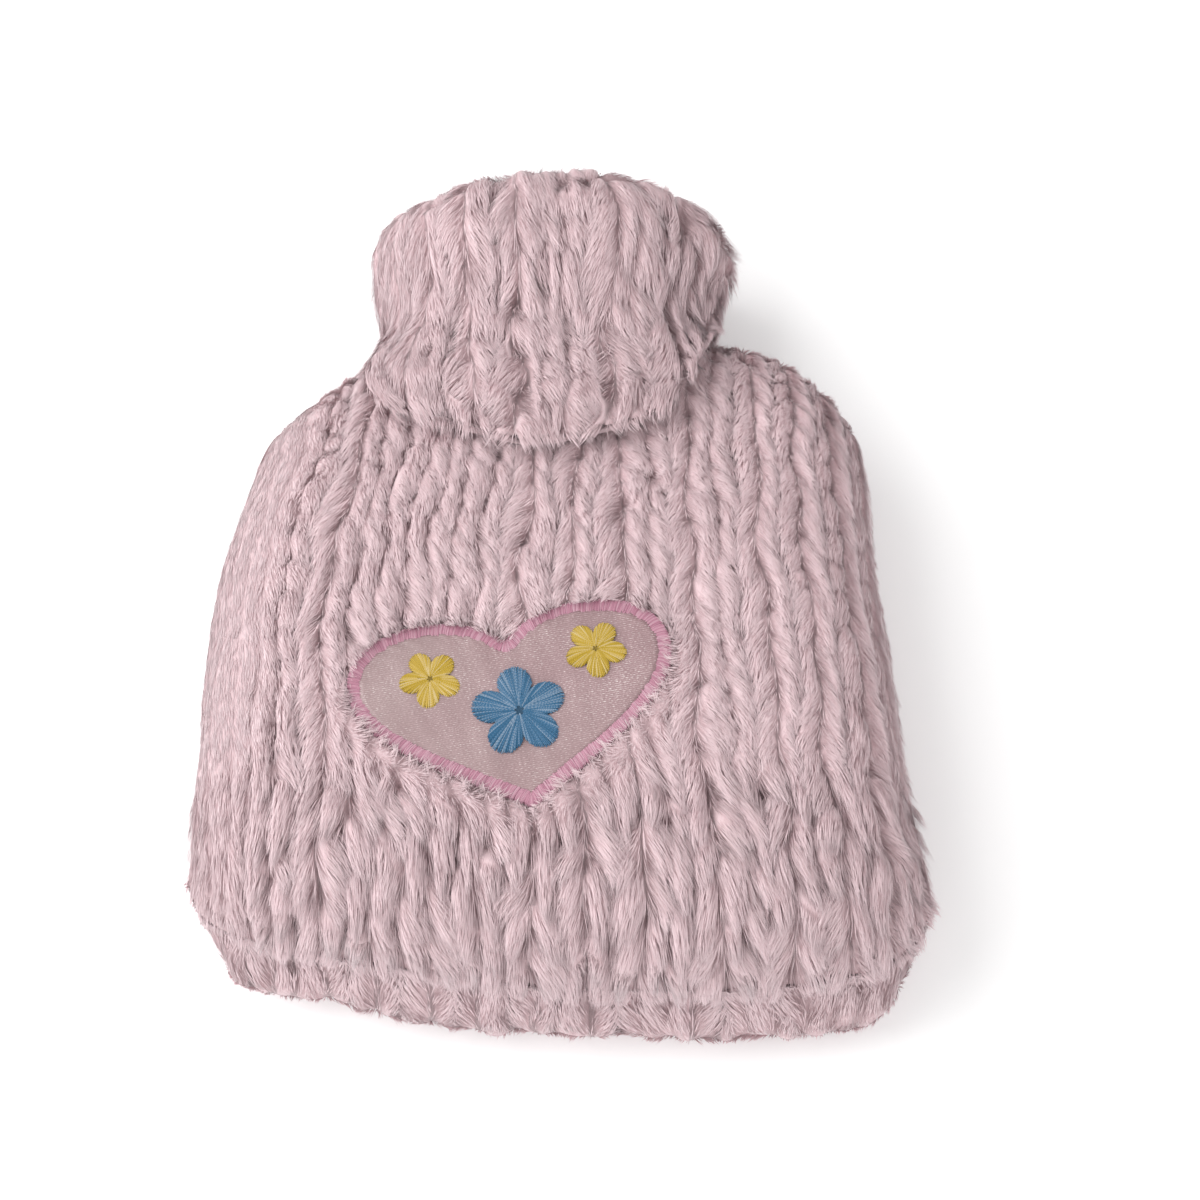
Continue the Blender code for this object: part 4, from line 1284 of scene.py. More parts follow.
    def build_mass(self, outer: Material, inner: Material) -> Piece:
        """The closed mass: its outer grid, the lining's coarse grid, and what joins their edges.

        Args:
            outer: material of the pile.
            inner: material of the lining's side.

        Returns:
            The piece.
        """
        points = np.concatenate((self.mass.reshape(-1, 3), self.lining.reshape(-1, 3)))
        first = self.rows * self.columns
        outside = np.arange(first).reshape(self.rows, self.columns)
        inside = np.arange(first, len(points)).reshape(self.lining.shape[:2])
        faces = self.outer_faces().tolist()
        faces += bridge(outside[0], inside[0], self.wraps, False)
        faces += bridge(outside[-1], inside[-1], self.wraps, True)
        if not self.wraps:
            faces += bridge(outside[:, 0], inside[:, 0], False, True)
            faces += bridge(outside[:, -1], inside[:, -1], False, False)
        lined = ring_faces(inside, self.wraps).tolist()
        piece = make_object(self.name + "_pile", points, faces + lined, outer, inner)
        mesh = piece.data
        sides = np.zeros(len(mesh.polygons), dtype=np.int32)
        sides[len(faces):] = 1
        mesh.polygons.foreach_set("material_index", sides)
        blank = np.zeros(len(points) - first)
        # The lie map streaks the mass; the form map carries the grooves' painted shade, taken away near the seams as
        # painted light, and the smooth zones.
        for name, u, v in (("lie", self.across + self.along * 0.5 * self.sign, self.along),
                           ("form", self.groove * (1.0 - 0.85 * self.smooth) * (1.0 - self.near_edge), self.smooth)):
            write_map(mesh, name, *(np.concatenate((value.ravel(), blank)) for value in (u, v)))
        return piece

    def root_mesh(self, name: str, columns: slice) -> Mesh:
        """A slice of the mass that hairs are scattered on, with their lie as attributes.

        Args:
            name: the mesh's name.
            columns: which of the grid's columns it has.

        Returns:
            The mesh.
        """
        keep = np.zeros((self.rows, self.columns), dtype=bool)
        keep[:, columns] = True
        faces = self.outer_faces()
        faces = faces[keep.ravel()[faces].all(axis=1)]
        number = np.cumsum(keep) - 1
        mesh = bpy.data.meshes.new(name)
        mesh.from_pydata(self.mass[keep].tolist(), [], number[faces].tolist())

        share, uneven = self.tone, 1.0 - self.smooth
        # Painted shade: lighter on the high part of each lock, darker low in it.
        tone = (share.plain + (share.lot * (self.lot - 0.5) + share.bulge * (self.bulge - 0.6)) * uneven
                # Painted light near the seams.
                + share.loose * self.loose + share.smooth * self.smooth + share.near_edge * self.near_edge
                # Painted shade in the grooves.
                + share.groove * self.groove * (1.0 - 0.85 * self.smooth)
                # Painted shade at the start of each lock.
                + share.painted_shade_at_lock_start * (1.0 - ease(0.0, 0.20, self.g)) * uneven)
        pressed = self.pressed * (1.0 - 0.7 * self.bank)
        thick = ((1.0 - 0.55 * self.groove) * self.thick * (1.0 - pressed) * (1.0 - self.resting)
                 * (1.0 - 0.5 * self.smooth))
        fluff = 1.0 - 0.92 * self.smooth + 0.6 * self.loose
        raised = unit(blurred(grid_normals(self.mass, self.wraps), self.wraps))
        up = unit(self.normals * 0.6 + raised * 0.4)
        face = unit(mix(self.normals, raised, (0.75 - 0.50 * self.smooth)[..., None]))
        flow = np.stack((self.across, self.along, np.zeros_like(self.along)), axis=-1)
        for key, value in (("tip", self.hair_tips()), ("up", up), ("face", face), ("flow", flow),
                           ("thick", thick), ("tone", tone), ("fluff", fluff)):
            write_points(mesh, **{key: value[keep]})
        return mesh


class Comb:
    """Grows hairs on pelts with one node tree."""

    def __init__(self) -> None:
        """Make the tree and the blade that each hair is bent from."""
        self.lot = HairLot()
        self.graph = self.lot.graph()
        shares = [(0.0, 0.0, 0.0, 0.0), (0.42, 0.72, -1.0, 0.0), (0.42, 0.72, 1.0, 0.0), (1.0, 1.0, 0.0, 0.0)]
        self.blade = strand_object("hair_blade", shares, [(0, 2, 1), (1, 2, 3)])

    def hairs(self, pelt: Pelt, name: str, columns: slice, finish: Material) -> Piece:
        """Hairs on some columns of a pelt.

        Args:
            pelt: what they grow on.
            name: the piece's name.
            columns: which of its columns.
            finish: their material.

        Returns:
            The piece.
        """
        cut, lot = pelt.cut, self.lot
        mesh = finish_strands(self.graph.run(
            name, pelt.root_mesh(name + "_roots", columns), density=cut.hairs_each_mm2 * 1e6, width=cut.hair_width,
            lift=cut.hair_rise, tuft_width=lot.tuft_width, tuft_length=lot.tuft_length, tufting=lot.tufting,
            seed=pelt.seed, strand=self.blade, material=finish), lot.roundness)
        places = np.empty(len(mesh.vertices) * 3, dtype=np.float32)
        mesh.vertices.foreach_get("co", places)
        places[2::3] = np.maximum(places[2::3], 0.1 * MM)
        mesh.vertices.foreach_set("co", places)
        return link(name, mesh)

    def put_away(self) -> None:
        """Remove the blade once every hair is grown."""
        bpy.data.objects.remove(self.blade)


# ---- the studio -----------------------------------------------------------------------------------

@dataclass
class Studio:
    """Pale floor, soft light from the upper left, and the photograph's viewpoint."""

    target: Triple = (0.011, 0.0, 0.025)
    distance: float = 0.8
    elevation: float = 65.0
    lens: float = 88.8
    sky: float = 0.66
    lights: tuple[tuple[str, Triple, float, float], ...] = (
        ("key", (-0.78, 0.10, 0.74), 1.1, 11.6), ("front", (0.10, -0.80, 0.70), 1.0, 3.0))
    floor_size: float = 3.0
    floor_glow: float = 0.16

    def build(self) -> None:
        """Make the camera, the world, the lights and the floor."""
        scene = bpy.context.scene
        angle = math.radians(self.elevation)
        back = Vector((0.0, -math.cos(angle), math.sin(angle)))
        data = bpy.data.cameras.new("camera")
        data.lens, data.sensor_width, data.sensor_fit = self.lens, 36.0, "HORIZONTAL"
        camera = link("camera", data)
        camera.location = Vector(self.target) + back * self.distance
        camera.rotation_euler = (-back).to_track_quat("-Z", "Y").to_euler()
        scene.camera = camera
        scene.view_settings.view_transform = "Standard"
        scene.world = bpy.data.worlds.new("studio")
        scene.world.use_nodes = True
        background = scene.world.node_tree.nodes["Background"]
        background.inputs["Color"].default_value = (*WHITE, 1.0)
        background.inputs["Strength"].default_value = self.sky
        for name, place, size, power in self.lights:
            self.light(name, Vector(place), size, power)
        self.floor()

    def light(self, name: str, place: Vector, size: float, power: float) -> None:
        """Make a soft square light that faces the cover.

        Args:
            name: its name.
            place: where it is.
            size: length of its sides.
            power: its power in watts.
        """
        data = bpy.data.lights.new(name, "AREA")
        data.energy, data.size = power, size
        lamp = link(name, data)
        lamp.location = place
        lamp.rotation_euler = (Vector((0.0, 0.0, 0.02)) - place).to_track_quat("-Z", "Y").to_euler()

    def floor(self) -> None:
        """Lay a wide pale sheet just under the cover, which glows a little as a light table does."""
        g = ShaderGraph("studio_floor", Roughness=0.8, Emission_strength=self.floor_glow)
        finish = g.colour(g.ramp(g.noise(g.place(), 4.0), (0.3, (0.90, 0.90, 0.90)), (0.7, (0.92, 0.92, 0.92))))
        corners = np.array([(-1, -1, 0), (1, -1, 0), (1, 1, 0), (-1, 1, 0)]) * self.floor_size
        make_object("floor", corners - (0.0, 0.0, 0.2 * MM), [(0, 1, 2, 3)], finish)


# ---- the cover's own pieces -----------------------------------------------------------------------

class HeartAxes:
    """The heart's own axes on the front, and its outline."""

    CENTRE = (-0.0110, -0.0405)
    TURN = math.radians(10.0)
    COSINE, SINE = math.cos(TURN), math.sin(TURN)
    LIE = -0.0006
    START = (0.0, 0.0140)
    BENDS = ((0.0050, 0.0195, 0.0120, 0.0220, 0.0210, 0.0220),
             (0.0330, 0.0220, 0.0420, 0.0160, 0.0420, 0.0065),
             (0.0420, -0.0090, 0.0170, -0.0210, 0.0, -0.0320))
    STEPS = 40

    @classmethod
    def place(cls, p: Array, q: Array, height: Number) -> Array:
        """Points over the pressed front.

        Args:
            p: place along the heart's own first axis.
            q: place along its second one.
            height: height over the front.

        Returns:
            The points.
        """
        x = cls.CENTRE[0] + p * cls.COSINE - q * cls.SINE
        y = cls.CENTRE[1] + p * cls.SINE + q * cls.COSINE
        return np.stack((x, y, Form.front_height(x, y) + cls.LIE + height), axis=-1)

    @classmethod
    def own(cls, x: Array, y: Array) -> tuple[Array, Array]:
        """Points of the plan along the heart's own axes."""
        dx, dy = x - cls.CENTRE[0], y - cls.CENTRE[1]
        return dx * cls.COSINE + dy * cls.SINE, dy * cls.COSINE - dx * cls.SINE

    @classmethod
    def outline(cls, inward: float = 0.0) -> Array:
        """The outline on the heart's own axes, clockwise from the notch.

        Args:
            inward: how far it is drawn in.

        Returns:
            Its points, brought together where the drawn-in sides would cross at the tip.
        """
        start, right = np.array(cls.START), []
        s = (np.arange(cls.STEPS) / cls.STEPS)[:, None]
        for bend in cls.BENDS:
            one, two, end = np.array(bend).reshape(3, 2)
            right.append(start * (1 - s) ** 3 + one * 3 * s * (1 - s) ** 2 + two * 3 * s * s * (1 - s)
                         + end * s ** 3)
            start = end
        right = np.concatenate(right)
        points = np.concatenate((right, start[None], right[:0:-1] * (-1.0, 1.0)))
        run = unit(np.roll(points, -1, axis=0) - np.roll(points, 1, axis=0))
        moved = points + np.stack((run[:, 1], -run[:, 0]), axis=1) * inward
        tip = len(right)
        crossed = [k for k in range(tip // 2, tip) if moved[k, 0] <= 0.0]
        if crossed:
            moved[crossed[0]:len(moved) - crossed[0] + 1] = (0.0, moved[crossed[0], 1])
        return moved

    @classmethod
    def below(cls, x: Array, y: Array) -> Array:
        """How much points of the plan are below the heart or beside its lower edges, from 0 to 1."""
        p, q = cls.own(x, y)
        return ease(10 * MM, 0.0, q - 0.12 * np.abs(p))

    @classmethod
    def depth_inside(cls, x: Array, y: Array) -> Array:
        """How far inside the outline points are.

        Args:
            x: place across, of points of the plan.
            y: place along.

        Returns:
            The distances, negative outside.
        """
        p, q = cls.own(x, y)
        ring = cls.outline()[::3]
        away, inside = np.full(p.shape, 1e9), np.zeros(p.shape, dtype=bool)
        for (ax, ay), (bx, by) in zip(ring, np.roll(ring, -1, axis=0)):
            away = np.minimum(away, np.hypot(p - ax, q - ay))
            crosses = (ay > q) != (by > q)
            inside ^= crosses & (p < ax + (q - ay) / (by - ay + 1e-12) * (bx - ax))
        return np.where(inside, away, -away)


def panel_lining(grid: Array, wall: Array, rows: int, columns: int) -> Array:
    """A coarse copy of a panel's surface, a wall's thickness in from it.

    Args:
        grid: the surface.
        wall: the thickness at each place.
        rows: about how many rows the copy has.
        columns: about how many columns.

    Returns:
        The copy's points.
    """
    kept = (np.unique(np.round(np.linspace(0, count - 1, few)).astype(int))
            for count, few in zip(grid.shape, (rows, columns)))
    return (grid - grid_normals(grid, False) * wall[..., None])[np.ix_(*kept)]


@dataclass
class FrontPanel:
    """The upper half of the pouch."""

    rows: int = 215
    columns_per_rib: int = 7
    wall: float = 8.0 * MM
    cut: PileCut = PileCut()
    flat: tuple[float, float] = (0.250, 0.225)

    def grid(self) -> Array:
        """The smooth surface of the rib tops, from the shoulders to the hem, left to right.

        Returns:
            Its points.
        """
        rise = float(Form.BODY.read("crown", 0.0)) - Form.SEAM_HEIGHT
        across, row, along = Form.plan(self.rows, Form.RIBS * self.columns_per_rib + 1, rise, Form.SIDE_RADIUS,
                                       Form.HEM_RADIUS, Form.SHOULDER_RADIUS)
        centre, half = Form.width_at(along)
        x = centre + (across + Form.sway(across, along, row) / half) * half
        z = Form.front_height(x, along) + Form.SEAM_GAP / 2
        Form.close_seam(z, 1.0)
        return np.stack((x, along, z), axis=-1)

    def pelt(self, collar: "Collar") -> Pelt:
        """The panel's plush: smooth on its left wall, loose tufts at the bottom, flat under the heart.

        Args:
            collar: what lies on its top end, where few hairs are grown.

        Returns:
            The plush.
        """
        grid = self.grid()
        x, y = grid[..., 0], grid[..., 1]
        across, inside = Form.across(x, y), HeartAxes.depth_inside(x, y)
        wander = soft_noise(x / (9 * MM), y / (9 * MM), 5) - 0.5
        loose = ease(0.0, 14 * MM, -0.052 - y + 14 * MM * wander)
        loose = np.maximum(loose, 0.35 * ease(0.80, 0.95, across) * ease(-0.02, -0.06, y))
        loose = loose * (1.0 - 0.6 * ease(0.75, 0.9, -across))
        zones = {
            Zone.SMOOTH: np.maximum(ease(0.76, 0.87, -across), 0.45 * ease(0.88, 0.97, across)) * (1.0 - loose),
            Zone.LOOSE: loose,
            Zone.PRESSED: ease(-1.6 * MM, 0.4 * MM, inside),
            Zone.PATCH: inside,
            Zone.FURROWED: ease(16 * MM, 8 * MM, np.hypot((x + 0.070) * 1.2, (y + 0.033) * 0.55)),
            Zone.BANK: ease(-7 * MM, -2 * MM, inside) * ease(0.9 * MM, -0.4 * MM, inside) * HeartAxes.below(x, y),
        }
        covered = ease(0.0, 3 * MM, y - collar.hem_over(x) - 3 * MM)
        lining = panel_lining(grid, self.wall - 3.0 * MM * ease(0.055, 0.075, y), 24, 26)
        return Pelt("front_panel", grid, Form.RIBS, False, self.cut, 3, zones, lining, 1.0 - covered)


@dataclass
class BackPanel:
    """The lower half of the pouch, flat where it rests."""

    rows: int = 110
    columns_per_rib: int = 4
    wall: float = 5.5 * MM
    cut: PileCut = PileCut(
        groove=2.8 * MM, lock_length=(9 * MM, 14 * MM), swell=3.4 * MM, hair_rise=0.6 * MM, hairs_each_mm2=2.7,
        hair_width=0.13 * MM, overhang=1.0 * MM, lap=1.0 * MM)
    flat: tuple[float, float] = (0.235, 0.225)

    def grid(self) -> Array:
        """The smooth surface, from the shoulders to the hem, right to left, so that it faces down.

        Returns:
            Its points.
        """
        radius = Form.BACK_RADIUS
        across, _, along = (values[:, ::-1] for values in Form.plan(
            self.rows, Form.RIBS * self.columns_per_rib + 1, Form.SEAM_HEIGHT, radius, radius, radius))
        centre, half = Form.width_at(along)
        share, (side, hem, top) = Form.back_share(across, along)
        swell = np.sin(math.pi * share ** Form.BACK_BULGE_LOW)
        room = np.maximum(1e-6, 3.0 - side - hem - top)
        x = centre + across * half + np.sign(across) * Form.BACK_BULGE_SIDE * swell * (1.0 - side) / room
        y = along - Form.BACK_BULGE_HEM * swell * (1.0 - hem) / room
        z = mix(Form.SEAM_HEIGHT, Form.underside(along), share) - Form.SEAM_GAP / 2 * (1.0 - share)
        Form.close_seam(z, -1.0)
        return np.stack((x, y, z), axis=-1)

    def pelt(self) -> Pelt:
        """The panel's plush, with no pile raised where it lies on the floor.

        Returns:
            The plush.
        """
        grid = self.grid()
        x, y, z = np.moveaxis(grid, -1, 0)
        zones = {
            Zone.RESTING: 1.0 - ease(0.3 * MM, 3.5 * MM, z),
            Zone.LOOSE: 0.6 * ease(0.0, 0.010, -0.085 - y),
            Zone.SMOOTH: 0.8 * ease(0.86, 0.95, np.abs(Form.across(x, y))),
        }
        wall = self.wall + 2.5 * MM * ease(0.010, 0.024, z) - 3.0 * MM * ease(0.055, 0.075, y)
        lining = panel_lining(grid, wall, 22, 26)
        return Pelt("back_panel", grid, Form.RIBS, False, self.cut, 8, zones, lining)


@dataclass
class Collar:
    """The tube round the neck, turned down over itself."""

    ribs: int = 38
    columns_per_rib: int = 8
    bore_rows: int = 20
    fold_rows: int = 26
    outer_rows: int = 70
    clearance: float = 0.9 * MM
    reach: float = 2.0 * MM
    reach_share: float = 0.97
    hem_side: float = 78.5 * MM
    hem_dip: tuple[float, float] = (46.0 * MM, 13.0 * MM)
    dip_start: tuple[float, float] = (0.06, 0.35)
    hem_left: float = 0.38
    flare: float = 6.0 * MM
    hem_wave: float = 1.2 * MM
    hem_waves: int = 6
    lip: float = 0.72
    lip_share: float = 0.06
    fold_side: float = 104.0 * MM
    fold_rise: float = 7.8 * MM
    fold_round: float = 3.0
    fold_reach: float = 9.5 * MM
    outer_layer: float = 0.52
    inner_layer: float = 0.45
    uneven: float = 0.02
    uneven_times: int = 3
    squareness: float = 0.90
    merge: float = 2.5 * MM
    cut: PileCut = PileCut(
        base=0.5 * MM, groove=3.8 * MM, lock_relief=1.9 * MM, lock_length=(9 * MM, 17 * MM), slant=1.0, wander=0.9,
        roam=0.5, braids=0.35, swell=3.2 * MM, hair_length=5.5 * MM, hair_rise=1.0 * MM, hairs_each_mm2=3.9,
        hair_width=0.095 * MM, overhang=4.0 * MM, droop=1.8 * MM)
    flat: tuple[float, float] = (0.285, 0.103)

    def tube(self, turn: Array, share: Array, along: Array) -> Array:
        """Points of the plain tube.

        Args:
            turn: angle round it.
            share: 0 on the bore and 1 on the outside.
            along: place along the cover.

        Returns:
            The points.
        """
        row = {name: Form.COLLAR.read(name, along) for name in Form.COLLAR.columns if name != "along"}
        cosine, sine = (np.sign(wave) * np.abs(wave) ** self.squareness for wave in (np.cos(turn), np.sin(turn)))
        x = row["centre"] + mix(row["bore_width"], row["half_width"], share) * cosine
        z = row["middle"] + mix(row["bore_height"], row["half_height"], share) * sine
        return np.stack((x, along + 0.0 * x, z), axis=-1)

    def soft_max(self, a: Array, b: Array) -> Array:
        """The larger of two values, rounded where they are close to each other."""
        share = np.maximum(self.merge - np.abs(a - b), 0.0) / self.merge
        return np.maximum(a, b) + share * share * self.merge / 4.0

    def points(self, turn: Array, share: Array, along: Array) -> Array:
        """Points of the collar, lifted off the panels where its outer layer lies on them.

        Args:
            turn: angle round it.
            share: 0 on the bore and 1 on the outside.
            along: place along the cover.

        Returns:
            The points.
        """
        outer = share >= self.outer_layer - 1e-6
        points, inside = (self.tube(turn, layer, along) for layer in (share, np.full_like(share, self.outer_layer)))
        flare = self.flare * ease(0.3, 0.9, -np.cos(turn)) * ease(0.0, 0.35, np.sin(turn))
        flare = flare * ease(0.088, 0.055, along) * outer
        points[..., 0] -= flare
        inside[..., 0] -= flare
        x, y, low = inside[..., 0] * self.reach_share, along - self.reach, inside[..., 2]
        above = self.soft_max(low, Form.front_height(x, y) + self.clearance) - low
        below = -self.soft_max(-low, self.clearance - Form.back_height(x, y)) - low
        points[..., 2] += np.where(outer, np.where(np.sin(turn) >= 0.0, above, below), 0.0)
        points[..., 2] = np.maximum(points[..., 2], 0.0)
        return points

    def hem(self, turn: Array) -> Array:
        """Where the turned-down layer ends.

        Args:
            turn: angle round the collar.

        Returns:
            The place along the cover.
        """
        way, front = np.abs(np.sin(turn)), np.sin(turn) > 0.0
        dip, start = np.where(front, *self.hem_dip), np.where(front, *self.dip_start)
        wave = self.hem_wave * np.sin(self.hem_waves * turn) * way
        square = np.where(front, mix(1.0, self.hem_left, ease(0.1, 0.8, -np.cos(turn))), 1.0)
        return self.hem_side - dip * (np.maximum(0.0, way - start) / (1.0 - start)) ** square + wave

    def hem_over(self, x: Array) -> Array:
        """Where the hem runs on the front.

        Args:
            x: places across the cover.

        Returns:
            The place along it, far up where there is no hem.
        """
        turns = np.linspace(0.0, math.pi, 181)
        hem = self.hem(turns)
        edge = self.points(turns, np.full_like(turns, 0.9), hem)
        return np.interp(x, edge[::-1, 0], hem[::-1], left=1.0, right=1.0)

    def turns(self) -> Array:
        """Angles evenly spaced along the outside, from the right side down round the back.

        Returns:
            The angles, one for each column.
        """
        fine = np.linspace(0.0, math.tau, 1441)
        points = self.tube(fine, np.ones_like(fine), np.full_like(fine, self.fold_side))
        length = travelled(np.linalg.norm(np.diff(points, axis=0), axis=1))
        count = self.ribs * self.columns_per_rib
        return np.interp(np.arange(count) / count * length[-1], length, fine)[::-1]

    def grid(self, turn: Array, start: Array, fold: Array, hem: Array) -> Array:
        """The smooth surface, from the bore's end over the fold and down to the hem.

        Args:
            turn: angle of each column.
            start: where the bore begins.
            fold: where the fold is.
            hem: where the hem is.

        Returns:
            Its points, smoothed over the fold and kept at the hem.
        """
        outside = 1.0 - self.uneven * (1.0 + np.sin(self.uneven_times * turn))
        rows = [(np.zeros_like(turn), mix(start, fold, climb))
                for climb in np.linspace(0.0, 1.0, self.bore_rows, endpoint=False)]
        rows += [(outside * (0.5 + 0.5 * math.cos(angle)), fold + self.fold_reach * math.sin(angle))
                 for angle in np.linspace(math.pi, 0.0, self.fold_rows, endpoint=False)]
        for climb in np.linspace(1.0, 0.0, self.outer_rows):
            rounding = math.sqrt(max(0.0, 1.0 - (1.0 - min(1.0, climb / self.lip_share)) ** 2))
            share = mix(self.outer_layer, outside, self.lip + (1.0 - self.lip) * rounding)
            rows.append((share, mix(hem, fold, climb)))
        shares, places = (np.stack(values) for values in zip(*rows))
        grid = self.points(np.broadcast_to(turn, shares.shape), shares, places)
        row, last = np.arange(len(rows), dtype=float)[:, None], len(rows) - 1.0
        folded = ease(self.bore_rows + 14.0, self.bore_rows + self.fold_rows + 6.0, row)
        kept = mix(ease(last, last - 8.0, row), 1.0, ease(0.8, 0.5, np.abs(np.sin(turn))))
        return mix(grid, blurred(grid, True, 24), 0.9 * (folded * kept)[..., None])

    def pelt(self) -> Pelt:
        """The collar's plush: loose at its hem and on its right, smooth on its left and in its bore.

        Returns:
            The plush.
        """
        turn = self.turns()
        start, hem = np.full_like(turn, Form.NECK_END + 0.3 * MM), self.hem(turn)
        fold = self.fold_side + self.fold_rise * np.abs(np.sin(turn)) ** self.fold_round
        grid = self.grid(turn, start, fold, hem)
        few = slice(None, None, 4)
        layers = [(self.inner_layer, climb, start) for climb in (0.0, 0.3, 0.6, 0.9)]
        layers += [(self.outer_layer, climb, hem) for climb in (0.9, 0.66, 0.47, 0.3, 0.15, 0.0)]
        lining = np.stack([self.points(turn[few], np.full_like(turn[few], share), mix(low[few], fold[few], climb))
                           for share, climb, low in layers])

        row, last = np.indices(grid.shape[:2], dtype=float)[0], len(grid) - 1.0
        x, z = grid[..., 0], grid[..., 2]
        into_bore = 1.0 - ease(self.bore_rows * 0.4, self.bore_rows + 6.0, row)
        near_hem = ease(last - 21.0, last - 3.0, row)
        hem_end = ease(0.62, 0.38, np.abs(np.sin(turn))) * ease(last - 17.0, last - 6.0, row)
        pale = 0.75 * ease(-0.032, -0.044, x) * (1.0 - near_hem)
        # Loose tufts on the right, whose darker tone is partly painted shade on that side.
        right = 0.85 * ease(0.026, 0.036, x) * (1.0 - into_bore)
        zones = {
            Zone.SMOOTH: np.maximum(np.maximum(0.8 * into_bore, hem_end), pale),
            Zone.LOOSE: np.maximum(0.25 + 0.5 * near_hem, right),
            Zone.RESTING: 1.0 - ease(0.3 * MM, 3.0 * MM, z),
        }
        return Pelt("collar", grid, self.ribs, True, self.cut, 21, zones, lining, 1.0 - 0.6 * into_bore, lip=7)


class Stitcher:
    """Lays threads along stitches with one node tree."""

    RING = ((-1.0, 0.0), (0.0, 1.0), (1.0, 0.0))
    SECTIONS = ((0.0, 0.0, 0.6), (0.08, 0.62, 0.9), (0.3, 0.95, 1.0), (0.5, 1.0, 1.0), (0.7, 0.95, 1.0),
                (0.92, 0.62, 0.9), (1.0, 0.0, 0.6))

    def __init__(self) -> None:
        """Make the tree and the thread that each stitch is bent from: open below, three points round."""
        self.graph = GrowthGraph("lay_stitches")
        self.graph.grow(self.graph.add("GeometryNodeMeshToPoints", {"Mesh": self.graph.mesh}).outputs[0])
        shares = [(reach, lift, side * girth, puff * girth) for reach, lift, girth in self.SECTIONS
                  for side, puff in self.RING]
        faces = [(a, a + 1, a + 4, a + 3) for row in range(len(self.SECTIONS) - 1) for a in (row * 3, row * 3 + 1)]
        self.thread = strand_object("thread", shares, faces)

    def stitches(self, name: str, starts: Array, ends: Array, arch: Number, half_width: float,
                 finish: Material, seed: int) -> Piece:
        """Threads from their starts to their ends.

        Args:
            name: the piece's name.
            starts: where each thread comes up.
            ends: where it goes down.
            arch: how high it arches between them.
            half_width: half its width.
            finish: its material.
            seed: which random shades.

        Returns:
            The piece.
        """
        reach = ends - starts
        up = np.broadcast_to((0.0, 0.0, 1.0), reach.shape)
        roots = bpy.data.meshes.new(name + "_roots")
        roots.from_pydata(starts.tolist(), [], [])
        write_points(roots, root=starts, reach=reach, lift=up * np.broadcast_to(arch, len(up))[:, None],
                     side=unit(np.cross(reach, up)) * half_width, puff=up * half_width * 0.9, facing=up,
                     shade=np.random.default_rng(seed).uniform(0.38, 0.85, len(up)))
        return link(name, finish_strands(self.graph.run(name, roots, strand=self.thread, material=finish), 0.8))

    def put_away(self) -> None:
        """Remove the thread once every stitch is laid."""
        bpy.data.objects.remove(self.thread)


